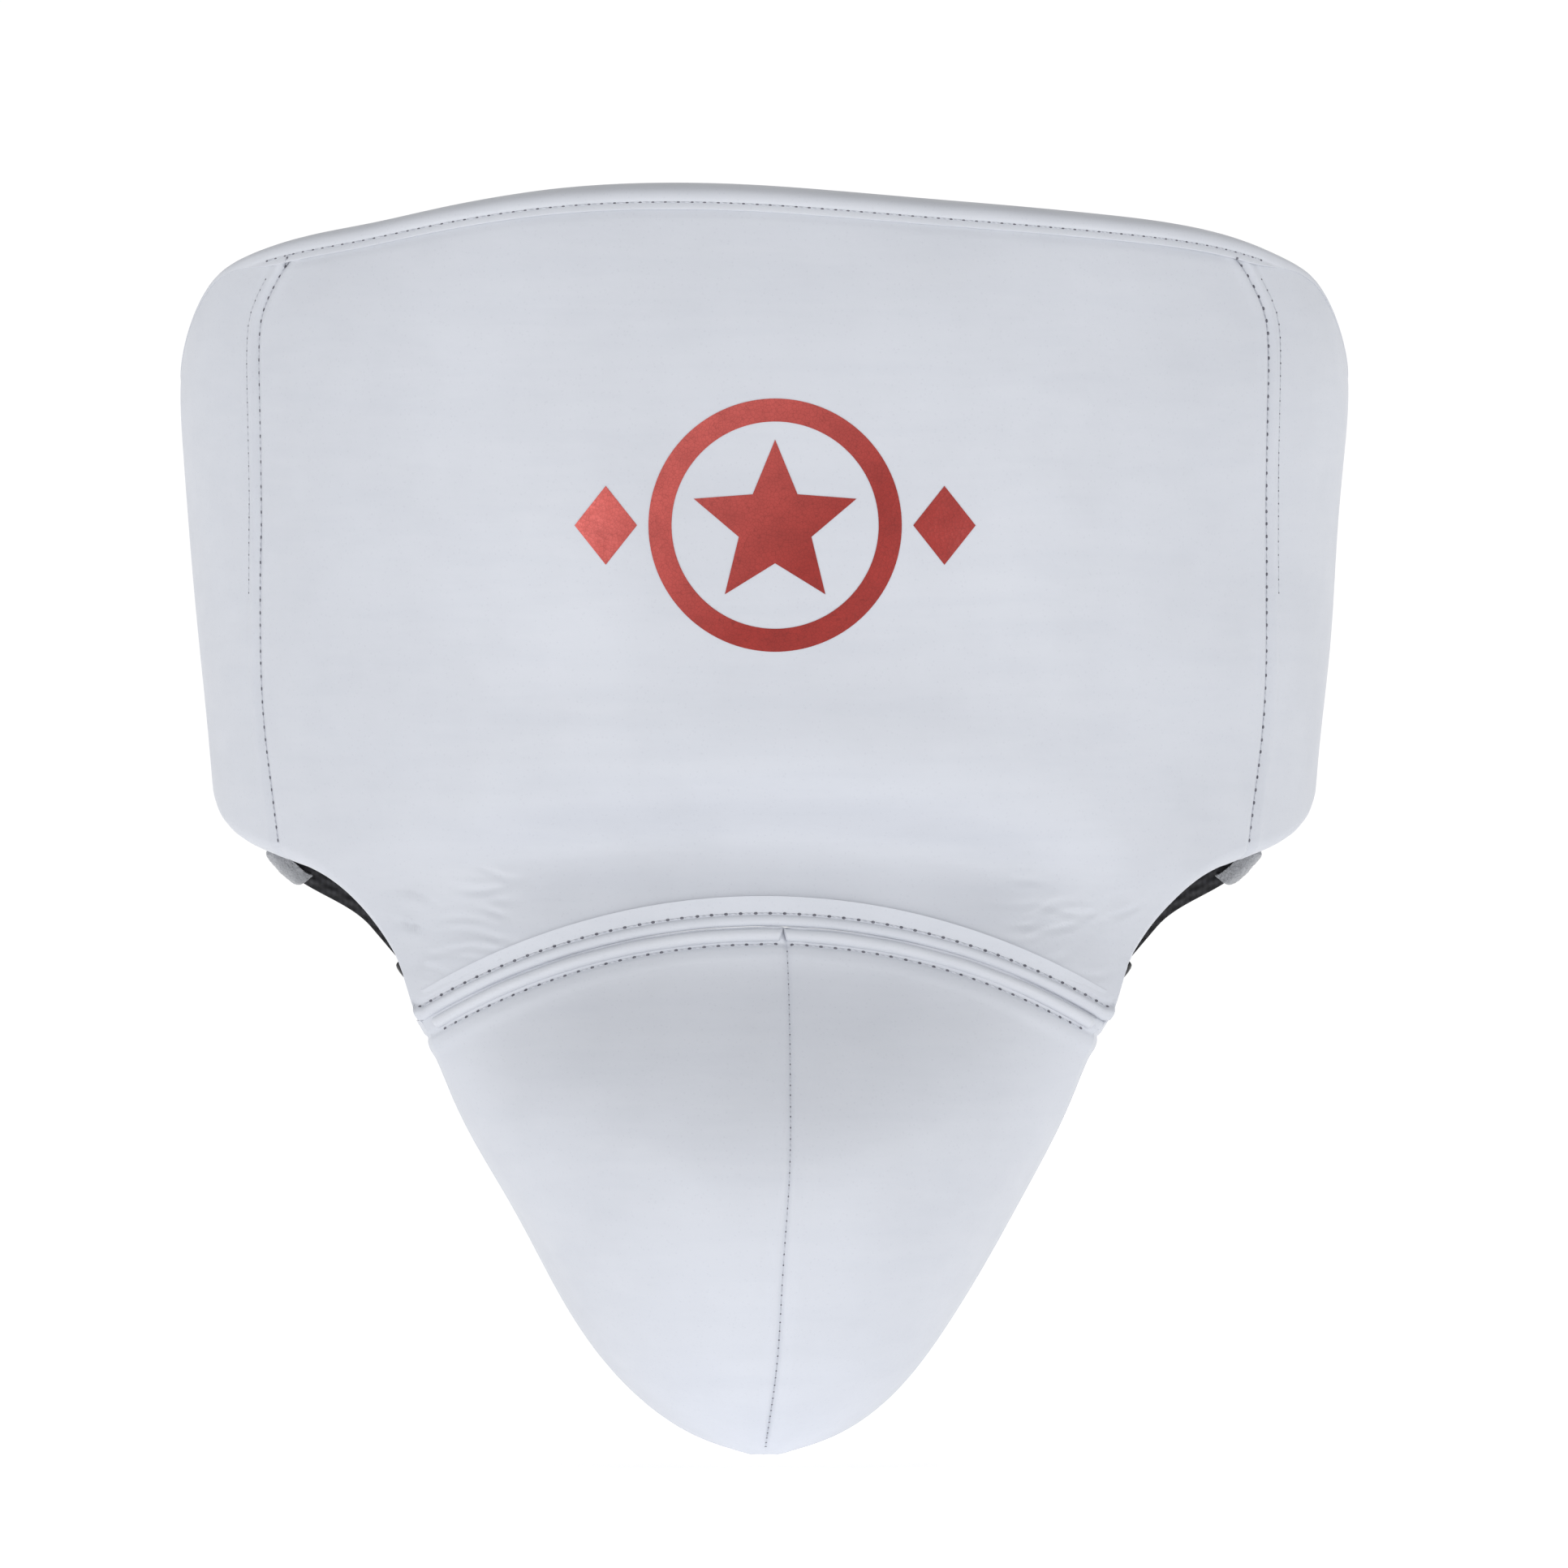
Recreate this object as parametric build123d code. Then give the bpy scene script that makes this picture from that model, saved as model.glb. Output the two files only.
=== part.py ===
from build123d import *
import os

# A boxer's groin protector in its worn shape: a padded apron round the belly and hips, a cup that
# hangs from it below an arched seam, a wide elastic waist belt closed at the back, and two leg straps.
# +Z is up, the front faces -Y, and the origin is the centre of the waist opening at belt height.
# All sizes are in millimetres.

# Apron
apron_half_width = 180.0
apron_half_depth = 130.0
apron_top = 106.0
apron_side_top = 80.0
apron_side_bottom = 101.0
hip_end = 60.0
hip_end_half_height = 48.0
# How the top edge stands over its named heights at the front and hips, and the low edge at the side
front_rise = 8.0
side_fall = 2.0
hip_rise = 6.0
side_bottom_rise = 21.0
low_taper = 22.0
top_taper = 8.0
pad_thickness = 24.0
leather = 1.6
lining = 1.2
cap_height = 7.0
side_seam_inset = 25.0
seam_channel = 1.0

# Arched seam, the soft band above it where the guard folds, and the concave cut-out for each leg
seam_apex_drop = 122.0
seam_end_drop = 151.0
fold_band = 25.0
fold_slope = 0.6
leg_corner_inset = 5.0
leg_outer_rise = 36.0
# Points of the cut-out's edge, as shares of its width and rise from the seam's end to the hip corner
leg_cut_points = ((0.22, 0.38), (0.6, 0.8))
welt_width = 6.0
welt_proud = 1.5

# Cup
cup_half_width = 104.0
cup_tip_drop = 284.0
cup_reach = 162.0
cup_rear = 90.0
cup_padding = 8.0
cup_shell = 3.0
cup_liner = 2.5
cup_layer_gap = 0.2
rim_cushion_depth = 9.0
tongue_height = 62.0
tongue_thickness = 2.0
# Each level of the cup: how far down from the seam's ends to the tip, then its half width, its reach
# to the front and the place of its open back, as shares of the cup's own sizes above.
cup_profile = (
    (-0.30, 1.35, 0.765, 0.72),
    (-0.12, 1.15, 0.81, 0.86),
    (0.0, 1.02, 0.87, 0.96),
    (0.20, 0.905, 0.965, 0.94),
    (0.42, 0.76, 1.0, 0.88),
    (0.65, 0.59, 0.925, 0.80),
    (0.81, 0.445, 0.80, 0.73),
    (0.925, 0.285, 0.66, 0.67),
    (1.0, 0.09, 0.50, 0.60),
)

# Waist belt
belt_height = 72.0
belt_inset = 17.5
elastic = 2.8
loop_pile = 1.5
hook_pile = 1.2
pile_gap = 0.3
patch_margin = 5.0
closure_half_length = 50.0
pull_tab_length = 24.0
pull_tab_height = 38.0
hinge_gap = 3.0
anchor_depth = 25.0

# Leg straps
strap_width = 25.0
strap_thickness = 2.2
strap_lap = 11.5
strap_start_depth = -24.0
strap_end_half_spread = 20.0
strap_end_rise = 52.0
strap_end_clearance = 15.0
strap_rise = 25.0
strap_lead = 54.0
tab_length = 22.0
tab_grip = 10.0
tab_thickness = 1.4
slider_length = 14.0
slider_wall = 2.5
slider_clearance = 0.4
slider_start = 40.0

# Larger than any piece, for cutting
far = 400.0
beyond = 20.0
high_beyond = 60.0

belt_half_width = apron_half_width - belt_inset - elastic
belt_half_depth = apron_half_depth - belt_inset - elastic
side_seam = apron_half_width - side_seam_inset
belt_pivot = hip_end + 2 * hinge_gap
strap_start_half_spread = side_seam - pad_thickness - strap_width / 2 + strap_lap
strap_start_height = -apron_side_bottom
strap_end_height = -cup_tip_drop + strap_end_rise
# The cup's open back stands at about this share of its rear at the strap's end
rear_at_strap_end = 0.8
tongue_back = rim_cushion_depth + tongue_thickness
strap_end_depth = -rear_at_strap_end * cup_rear + tongue_back + strap_end_clearance
parts = {}


def block(low, high):
    """A box between two corners."""
    size = [b - a for a, b in zip(low, high)]
    middle = [(a + b) / 2 for a, b in zip(low, high)]
    return Pos(*middle) * Box(*size)


def worn_form(inset):
    """The solid inside the apron's outer surface, that far in: rings from below the seam to the top."""
    width, depth = apron_half_width - inset, apron_half_depth - inset
    levels = [
        (-seam_end_drop - fold_band, width - low_taper, depth - low_taper / 3),
        (-apron_side_bottom, width - low_taper / 2, depth - low_taper / 6),
        (hip_end_half_height, width, depth),
        (apron_top + cap_height, width - top_taper, depth - top_taper),
    ]
    rings = [Pos(0, 0, z) * Ellipse(a, b) for z, a, b in levels]
    return loft(rings)


def arch(raise_by):
    """The arched seam line in the front view, raised by that much, from left to right."""
    return ThreePointArc(
        (-cup_half_width, -seam_end_drop + raise_by),
        (0, -seam_apex_drop + raise_by),
        (cup_half_width, -seam_end_drop + raise_by),
    )


def below_arch():
    """Everything in front of the waist and below the arched line, which runs on level past its ends."""
    line = arch(0)
    floor = -cup_tip_drop - fold_band
    end = -seam_end_drop
    wall = apron_half_width
    walls = Polyline(line @ 1, (wall, end), (wall, floor), (-wall, floor), (-wall, end), line @ 0)
    return extrude(Plane.XZ * make_face([line, walls]), amount=far)


def below_fold():
    """Everything below the line where the thick foam ends, out past the leg cut-outs."""
    line = arch(fold_band)
    end_height = -seam_end_drop + fold_band - (apron_half_width - cup_half_width) * fold_slope
    floor = -cup_tip_drop - fold_band
    walls = Polyline(
        line @ 1,
        (apron_half_width, end_height),
        (apron_half_width, floor),
        (-apron_half_width, floor),
        (-apron_half_width, end_height),
        line @ 0,
    )
    return extrude(Plane.XZ * make_face([line, walls]), amount=far)


def front_outline():
    """The apron seen from the front: arched below, a concave cut-out for each leg, open at the top."""
    corner = side_seam - leg_corner_inset
    half = apron_half_width + beyond
    top = apron_top + high_beyond
    leg_width = corner - cup_half_width
    leg_rise = seam_end_drop - apron_side_bottom
    edges = [arch(0)]
    for side in (-1, 1):
        points = [(side * cup_half_width, -seam_end_drop)]
        for across, up in leg_cut_points:
            points.append((side * (cup_half_width + across * leg_width), -seam_end_drop + up * leg_rise))
        points.append((side * corner, -apron_side_bottom))
        edges.append(Spline(points))
        outer_low = (side * half, -apron_side_bottom + leg_outer_rise)
        edges.append(Line(points[-1], outer_low))
        edges.append(Line(outer_low, (side * half, top)))
    edges.append(Line((-half, top), (half, top)))
    return extrude(Plane.XZ * make_face(edges), amount=far, both=True)


def side_outline(lower_by):
    """The apron seen from the side: its top edge falls from the belly to the hip, the lower one rises."""
    front = -apron_half_depth - high_beyond
    top = Spline(
        (front, apron_top + front_rise - lower_by),
        (-apron_half_depth, apron_top - lower_by),
        (-0.63 * apron_half_depth, apron_side_top + front_rise - lower_by),
        (-0.4 * apron_half_depth, apron_side_top - side_fall - lower_by),
        (0, hip_end_half_height + hip_rise - lower_by),
        (hip_end, hip_end_half_height - lower_by),
    )
    bottom = Spline(
        (hip_end, -hip_end_half_height),
        (0, -apron_side_bottom + side_bottom_rise),
        (-0.42 * apron_half_depth, -apron_side_bottom),
    )
    floor = -cup_tip_drop
    rest = Polyline(bottom @ 1, (-0.46 * apron_half_depth, floor), (front, floor), top @ 0)
    end = Line(top @ 1, bottom @ 0)
    return extrude(Plane.YZ * make_face([top, end, bottom, rest]), amount=far, both=True)


def cup_levels(inset):
    """The cup's rings from the seam to the tip, that far in: height, half width, depth and rear."""
    drop = cup_tip_drop - seam_end_drop
    levels = []
    for share, width, reach, rear in cup_profile:
        half = width * cup_half_width
        back = rear * cup_rear
        depth = reach * cup_reach - back
        height = -seam_end_drop - share * drop + inset * max(share, 0) ** 2
        half -= min(inset, 0.6 * half)
        depth -= min(inset, 0.6 * depth)
        levels.append((height, half, depth, -back))
    return levels


def cup_form(inset):
    """The solid inside the cup's outer surface, that far in, carried on behind its open back."""
    return loft([Pos(0, rear, z) * Ellipse(half, depth) for z, half, depth, rear in cup_levels(inset)])


def cup_front(shift):
    """Everything in front of the cup's open back, or of a face that far behind it."""
    levels = cup_levels(0)
    back = Spline([(level[3] + shift, level[0]) for level in levels])
    top, low = levels[0][0], levels[-1][0]
    rest = Polyline(
        back @ 1,
        (levels[-1][3] + shift, low - fold_band),
        (-far, low - fold_band),
        (-far, top),
        back @ 0,
    )
    return extrude(Plane.YZ * make_face([back, rest]), amount=far, both=True)


def save(name, shape, colour):
    """Keeps one sub-part under its node name."""
    parts[name] = shape
    shape.label = name
    shape.color = Color(*colour)


def both_sides(name, shape, colour):
    """Keeps a piece of the wearer's left side (+X) and its mirror image."""
    save(name + "_left", shape, colour)
    save(name + "_right", mirror(shape, about=Plane.YZ), colour)


white = (0.86, 0.87, 0.90)
foam_grey = (0.45, 0.47, 0.50)
black = (0.05, 0.05, 0.06)
pile_grey = (0.55, 0.56, 0.57)


def make_apron():
    """Leather, foam and lining of the belly and hips."""
    outline = front_outline()
    full = outline & side_outline(0)
    zone = outline & side_outline(cap_height)
    fold = below_fold()
    outer = worn_form(0)
    under_leather = worn_form(leather)
    over_lining = worn_form(pad_thickness - lining)
    inner = worn_form(pad_thickness)
    belly = block((-side_seam, -far, -far), (side_seam, 0, far))
    hip_left = block((side_seam, -far, -far), (far, far, far)) + block((0, 0, -far), (far, far, far))

    save("top_cap", ((outer - inner) & full) - zone, white)
    skin = (outer - under_leather) & zone
    save("front_panel", (skin & belly) - fold, white)
    save("front_panel_fold", (skin & belly) & fold, white)
    both_sides("side_panel", skin & hip_left, white)

    back_skin = (over_lining - inner) & zone
    save("apron_lining", back_skin - fold, black)
    save("lining_fold", back_skin & fold, black)

    core = ((under_leather - over_lining) & zone) - fold
    narrow_belly = block((-side_seam + seam_channel, -far, -far), (side_seam - seam_channel, 0, far))
    save("abdominal_foam", core & narrow_belly, foam_grey)
    slot = anchor_band()
    both_sides("hip_foam", (core & hip_left) - slot, foam_grey)


def belt_band(layer_start, layer_thickness, height):
    """A band on edge right round the waist: where its inner face lies from the belt's, and its size."""
    low = Ellipse(belt_half_width + layer_start, belt_half_depth + layer_start)
    thick = layer_start + layer_thickness
    high = Ellipse(belt_half_width + thick, belt_half_depth + thick)
    return Pos(0, 0, -height / 2) * extrude(high - low, amount=height)


def anchor_band():
    """The belt's sewn-in end at the left hip, wide enough for either wing."""
    thickness = 2 * elastic + loop_pile + pile_gap + hook_pile
    band = belt_band(0, thickness, belt_height)
    return band & block((0, hip_end - anchor_depth, -far), (far, hip_end + hinge_gap, far))


def make_belt():
    """Two elastic wings that overlap behind the back, their closure and their anchors."""
    start = belt_pivot + hinge_gap
    both_sides("belt_anchor", anchor_band(), black)

    inner_reach = block((-closure_half_length, start, -far), (far, far, far))
    save("waist_belt_left", belt_band(0, elastic, belt_height) & inner_reach, black)
    patch_height = belt_height - 2 * patch_margin
    patch_zone = block((-closure_half_length + patch_margin, 0, -far),
                       (closure_half_length - patch_margin, far, far))
    save("loop_patch", belt_band(elastic, loop_pile, patch_height) & patch_zone, pile_grey)

    hook_start = elastic + loop_pile + pile_gap
    save("hook_patch", belt_band(hook_start, hook_pile, patch_height) & patch_zone, black)
    outer_start = hook_start + hook_pile
    outer_reach = block((-far, start, -far), (closure_half_length, far, far))
    save("waist_belt_right", belt_band(outer_start, elastic, belt_height) & outer_reach, black)
    tab_zone = block((closure_half_length, 0, -far), (closure_half_length + pull_tab_length, far, far))
    save("pull_tab", belt_band(outer_start, elastic, pull_tab_height) & tab_zone, white)


def make_cup():
    """Leather covers, padding, hard shell, liner, rim cushion, seam welt and tail tongue."""
    seam_line = below_arch()
    front = cup_front(0)
    zone = seam_line & front
    outer = cup_form(0)
    cover = (outer - cup_form(leather)) & zone
    left = block((0, -far, -far), (far, far, far))
    save("cup_cover_left", cover & left, white)
    save("cup_cover_right", cover - left, white)
    start = leather
    for name, thickness, colour in (
        ("cup_padding", cup_padding, foam_grey),
        ("cup_shell", cup_shell, (0.78, 0.78, 0.76)),
        ("cup_liner", cup_liner, black),
    ):
        layer = cup_form(start + cup_layer_gap) - cup_form(start + thickness)
        save(name, layer & zone, colour)
        start += thickness

    rim_end = cup_front(rim_cushion_depth)
    save("rim_cushion", ((outer - cup_form(start)) & seam_line & rim_end) - front, black)
    tongue_end = cup_front(rim_cushion_depth + tongue_thickness)
    low = block((-far, -far, -far), (far, far, -cup_tip_drop + tongue_height))
    save("tail_tongue", (outer & low & tongue_end) - rim_end, white)

    strip = zone - (Pos(0, 0, -welt_width) * seam_line)
    save("arch_seam_welt", (cup_form(-welt_proud) - outer) & strip, white)


def strap_plane():
    """The plane that holds the left strap's bowed path, along the strap and +Y, and the path's run."""
    start = Vector(strap_start_half_spread, strap_start_depth, strap_start_height)
    end = Vector(strap_end_half_spread, strap_start_depth, strap_end_height)
    along = (end - start).normalized()
    across = Vector(-along.Z, 0, along.X)
    return Plane(origin=start, x_dir=along, z_dir=across), (end - start).length


def make_leg_straps():
    """Each elastic strap bows back round the thigh, from the hip corner to the tongue behind the cup."""
    plane, run = strap_plane()
    lead = Line((0, 0), Vector(strap_lead, 0).rotate(Axis.Z, strap_rise))
    bow = TangentArc(lead @ 1, (run, strap_end_depth - strap_start_depth), tangent=lead % 1)
    strip = trace([lead, bow], line_width=strap_thickness)
    both_sides("leg_strap", extrude(plane * strip, amount=strap_width / 2, both=True), black)

    turned = plane * Rot(0, 0, strap_rise)
    gap = 2 * slider_clearance
    hole = Box(far, strap_thickness + gap, strap_width + gap)
    body = Box(
        slider_length,
        strap_thickness + gap + 2 * slider_wall,
        strap_width + gap + 2 * slider_wall,
    )
    both_sides("strap_slider", turned * Pos(slider_start + slider_length / 2, 0, 0) * (body - hole), black)

    fold = Box(tab_length, strap_thickness + 2 * tab_thickness, strap_width)
    grip_from = tab_grip - tab_length / 2
    slot = Pos(tab_length / 2, 0, 0) * Box(tab_length, strap_thickness, strap_width)
    both_sides("strap_tab", turned * ((Pos(grip_from, 0, 0) * fold) - slot), pile_grey)


make_apron()
make_belt()
make_cup()
make_leg_straps()

os.makedirs("parts", exist_ok=True)
for name, shape in parts.items():
    export_step(shape, f"parts/{name}.step")
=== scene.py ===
import math

import bmesh
import bpy
import numpy as np
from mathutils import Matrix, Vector
from mathutils.bvhtree import BVHTree


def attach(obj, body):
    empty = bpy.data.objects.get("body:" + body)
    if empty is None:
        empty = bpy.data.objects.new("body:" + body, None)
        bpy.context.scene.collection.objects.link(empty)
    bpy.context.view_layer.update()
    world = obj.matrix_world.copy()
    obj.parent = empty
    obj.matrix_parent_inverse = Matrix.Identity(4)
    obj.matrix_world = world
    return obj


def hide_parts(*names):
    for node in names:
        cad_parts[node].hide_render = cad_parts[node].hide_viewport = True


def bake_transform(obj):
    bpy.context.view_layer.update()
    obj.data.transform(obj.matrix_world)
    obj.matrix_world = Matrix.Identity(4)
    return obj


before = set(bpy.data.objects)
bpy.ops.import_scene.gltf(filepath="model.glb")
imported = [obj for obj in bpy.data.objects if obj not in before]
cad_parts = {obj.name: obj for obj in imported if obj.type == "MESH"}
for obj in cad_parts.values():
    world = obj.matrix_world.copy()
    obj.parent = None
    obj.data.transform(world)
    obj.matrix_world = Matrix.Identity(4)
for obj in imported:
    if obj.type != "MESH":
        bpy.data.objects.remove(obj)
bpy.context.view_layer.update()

# A boxer's groin protector, hung as worn. Shapes are worked out in millimetres in the CAD's frame:
# +Z up, the front faces -Y, and the origin is the centre of the waist opening.
MM = 0.001

# Apron: half width at heights down the sides, half depth at the CAD's own rings
SIDE_WIDTHS = ((-176, 154), (-151, 160), (-120, 165), (-101, 167.2), (-57, 171.4), (-12, 175.4),
               (25, 178.2), (47, 179.8), (70, 179), (113, 172))
RING_DEPTHS = ((-176, 122.7), (-101, 126.3), (48, 130), (113, 122))
END_ANGLE = 117.5
# Height of the top edge by angle round the waist, wearer's right side (negative) and left side
TOP_RIGHT = ((-117.5, 45.5), (-103, 47), (-95, 48.5), (-90, 51), (-85, 56.5), (-81, 63.5), (-77, 71),
             (-72.4, 78.6), (-67, 83.6), (-62, 86.4), (-54, 90), (-43.5, 93.8), (-36, 97.4), (-30.4, 100),
             (-23.3, 102.7), (-12, 104.6))
TOP_LEFT = ((0, 103.8), (4.5, 102.9), (15.5, 100.3), (26.6, 97.9), (35, 96.1), (43, 94.3), (54.5, 90.4),
            (62, 86.4), (67, 83.4), (72.6, 78.8), (77, 72), (81, 64.5), (85, 57.5), (90, 51.5), (95, 48.5),
            (103, 47), (117.5, 45.5))
# Height of the low edge by angle, from the end of the arched seam round the leg to the hip
LOW_EDGE = ((39.9, -151), (43.2, -135.5), (47.4, -122), (53.0, -110.5), (58, -105.5), (63.5, -102.6),
            (70, -99.4), (76, -96.2), (82, -91.8), (88, -86), (94, -79), (105, -64), (117.5, -48))
# The side seams: height and half spread
SIDE_SEAM = ((-99, 149.5), (-74, 152.6), (-66, 153.6), (-12, 155), (40, 155.4), (57, 155.5), (66, 154.3),
             (74, 150.8), (81, 146.6), (88, 141.5))
PAD = 24.0
HEM = 9.0
LEATHER = 1.3
CAP_FRONT = 8.4
CAP_SIDE = 5.0
CAP_STITCH = 6.2
CAP_ROUND = 4.6
# Rows up a panel: millimetres above the low roll up to LOWER_FACE, then a share of what is left
LOWER_FACE = 46
FACE_TOP = 2 * LOWER_FACE

# Arched seam between the apron and the cup
SEAM_APEX = -122.0
SEAM_END = -151.0
SEAM_HALF = 104.0
SEAM_RADIUS = (SEAM_HALF ** 2 + (SEAM_APEX - SEAM_END) ** 2) / (2 * (SEAM_APEX - SEAM_END))
FOLD_ABOVE = 3.6
WELT_WIDTH = 4.2

# Cup: at each level its height, half width, reach of the front and place of the open back
CUP_LEVELS = (
    (-111.0, 140.4, 124.0, 64.8),
    (-135.0, 119.6, 131.2, 77.4),
    (-151.0, 106.1, 140.9, 86.4),
    (-177.6, 93.6, 156.3, 84.6),
    (-206.9, 78.2, 162.0, 79.2),
    (-237.5, 60.8, 149.9, 72.0),
    (-258.7, 46.0, 129.6, 65.7),
    (-273.9, 29.6, 107.0, 60.3),
    (-278.6, 21.5, 98.0, 59.0),
    (-281.6, 13.7, 90.0, 62.0),
    (-283.5, 6.0, 81.0, 66.5),
    (-284.0, 0.0, 74.0, 74.0),
)
# The cup's middle seam, which wanders a little: height and sideways place
MIDDLE_SEAM = ((-284, 0.2), (-275.6, 1.5), (-264, 3.2), (-249, 4.7), (-234.6, 5.5), (-218, 6.5), (-201, 7.7),
               (-187, 8.2), (-174, 8.2), (-129.5, 7.2), (-111, 6.0))
COVER_ROLL = 4.5
RIM_FREE = 10
PADDING_AT = (1.9, 9.4)
SHELL_AT = (9.6, 12.4)
LINER_AT = (12.8, 14.6)
TONGUE_TOP = -222.0

# Seams: the lap beside a side seam, how far off a stitch looks for its leather, and the pitches
LAP = 3.1
SEAT_REACH = 4.0
STITCH_PITCH = 4.45
SIDE_PITCH = 3.9
rng = np.random.default_rng(11)


def smooth(low, high, value):
    """0 below low, 1 above high, and an easy step between."""
    t = np.clip((value - low) / (high - low), 0, 1)
    return t * t * (3 - 2 * t)


def bump(value, centre, width):
    """A soft hill of height 1."""
    return np.exp(-((value - centre) / width) ** 2)


def curve(points):
    """The natural cubic through the points, as a function that also takes arrays."""
    xs, ys = np.array(points, float).T
    steps = np.diff(xs)
    size = len(xs)
    matrix = np.eye(size)
    right = np.zeros(size)
    for i in range(1, size - 1):
        matrix[i, i - 1:i + 2] = steps[i - 1], 2 * (steps[i - 1] + steps[i]), steps[i]
        right[i] = 6 * ((ys[i + 1] - ys[i]) / steps[i] - (ys[i] - ys[i - 1]) / steps[i - 1])
    bend = np.linalg.solve(matrix, right)

    def value(x):
        x = np.clip(x, xs[0], xs[-1])
        i = np.clip(np.searchsorted(xs, x) - 1, 0, size - 2)
        t, step = x - xs[i], steps[i]
        slope = (ys[i + 1] - ys[i]) / step - step * (2 * bend[i] + bend[i + 1]) / 6
        return ys[i] + t * slope + t ** 2 * bend[i] / 2 + t ** 3 * (bend[i + 1] - bend[i]) / (6 * step)

    return value


def unit(vectors):
    return vectors / np.maximum(np.linalg.norm(vectors, axis=-1, keepdims=True), 1e-9)


def grid_normals(grid):
    """The normal at each point of a grid of points, along rows × columns."""
    across = np.gradient(grid, axis=1)
    down = np.gradient(grid, axis=0)
    return unit(np.cross(across, down))


def graded(*stretches):
    """One rising list of numbers from stretches of (start, end, step)."""
    parts = [np.arange(start, end, step) for start, end, step in stretches]
    return np.append(np.concatenate(parts), stretches[-1][1])


side_width = curve(SIDE_WIDTHS)
ring_depth = curve(RING_DEPTHS)
top_edge = curve(TOP_RIGHT + TOP_LEFT)
leg_edge = curve(LOW_EDGE)
side_seam = curve(SIDE_SEAM)
middle_seam = curve(MIDDLE_SEAM)


# ---------------------------------------------------------------- meshes and pieces


def new_object(name, mesh, material, sharp=50):
    mesh.polygons.foreach_set("use_smooth", np.ones(len(mesh.polygons), bool))
    mesh.set_sharp_from_angle(angle=math.radians(sharp))
    mesh.materials.append(material)
    obj = bpy.data.objects.new(name, mesh)
    bpy.context.scene.collection.objects.link(obj)
    return obj


def piece(name, points, faces, material, slot, sharp=50, merge=False):
    """An object from points in millimetres and four-sided faces, turned to face outward."""
    points = np.asarray(points, float)
    faces = np.asarray(faces, np.int32)
    a, b, c, d = (points[faces[:, i]] for i in range(4))
    volume = (np.cross(a, b) * c).sum() + (np.cross(a, c) * d).sum()
    if volume < 0:
        faces = faces[:, ::-1]
    mesh = bpy.data.meshes.new(name)
    mesh.vertices.add(len(points))
    mesh.vertices.foreach_set("co", (points * MM).astype(np.float32).ravel())
    mesh.loops.add(faces.size)
    mesh.loops.foreach_set("vertex_index", faces.ravel())
    mesh.polygons.add(len(faces))
    mesh.polygons.foreach_set("loop_start", np.arange(0, faces.size, 4, dtype=np.int32))
    mesh.update(calc_edges=True)
    if merge:
        work = bmesh.new()
        work.from_mesh(mesh)
        bmesh.ops.remove_doubles(work, verts=work.verts, dist=2e-6)
        bmesh.ops.dissolve_degenerate(work, edges=work.edges, dist=1e-7)
        work.to_mesh(mesh)
        work.free()
    mesh.validate()
    return new_object(name, mesh, material, sharp)


def shell(name, outer, inner, material, slot, **options):
    """A closed sheet between two grids of points of the same size."""
    rows, cols = outer.shape[:2]
    index = np.arange(rows * cols).reshape(rows, cols)
    front = np.stack([index[:-1, :-1], index[1:, :-1], index[1:, 1:], index[:-1, 1:]], -1).reshape(-1, 4)
    rim = np.concatenate([index[0, :-1], index[:-1, -1], index[-1, :0:-1], index[:0:-1, 0]])
    ahead = np.roll(rim, -1)
    count = rows * cols
    sides = np.stack([rim, ahead, ahead + count, rim + count], -1)
    faces = np.concatenate([front, front[:, ::-1] + count, sides])
    points = np.concatenate([outer.reshape(-1, 3), inner.reshape(-1, 3)])
    return piece(name, points, faces, material, slot, **options)


def tube(name, rings, material, slot, closed=False, **options):
    """A solid from closed rings of points, its ends filled unless it joins up."""
    count, size = rings.shape[:2]
    index = np.arange(count * size).reshape(count, size)
    ahead = np.roll(index, -1, axis=1)
    next_index, next_ahead = np.roll(index, -1, axis=0), np.roll(ahead, -1, axis=0)
    last = count if closed else count - 1
    corners = [part[:last] for part in (index, ahead, next_ahead, next_index)]
    walls = np.stack(corners, -1).reshape(-1, 4)
    faces = [walls]
    if not closed:
        half = size // 2
        for ring, step in ((index[0], -1), (index[-1], 1)):
            for i in range(half - 1):
                quad = [ring[i], ring[i + 1], ring[(size - 2 - i) % size], ring[(size - 1 - i) % size]]
                faces.append(np.array([quad[::step]]))
    return piece(name, rings.reshape(-1, 3), np.concatenate(faces), material, slot, **options)


def copies(name, shape, quads, frames, material, slot):
    """One object made of the same small shape set at each (centre, along, across, out) frame."""
    centres, along, across, out = (np.asarray(part, float) for part in frames)
    points = (
        centres[:, None]
        + shape[None, :, 0:1] * along[:, None]
        + shape[None, :, 1:2] * across[:, None]
        + shape[None, :, 2:3] * out[:, None]
    )
    offsets = np.arange(len(centres))[:, None, None] * len(shape)
    faces = (np.asarray(quads)[None] + offsets).reshape(-1, 4)
    return piece(name, points.reshape(-1, 3), faces, material, slot, sharp=80)


def ball(lengths, around=8, along=5):
    """An ellipsoid's points and quads, its long way first."""
    points, quads = [], []
    for j in range(along + 1):
        tilt = math.pi * (0.04 + 0.92 * j / along)
        for i in range(around):
            turn = 2 * math.pi * i / around
            points.append((
                -lengths[0] * math.cos(tilt),
                lengths[1] * math.sin(tilt) * math.cos(turn),
                lengths[2] * math.sin(tilt) * math.sin(turn),
            ))
    for j in range(along):
        for i in range(around):
            k = (i + 1) % around
            quads.append((j * around + i, j * around + k, (j + 1) * around + k, (j + 1) * around + i))
    for base in (0, along * around):
        for i in range(around // 2 - 1):
            quads.append((base + i, base + i + 1, base + around - 2 - i, base + around - 1 - i))
    return np.array(points), quads


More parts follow.
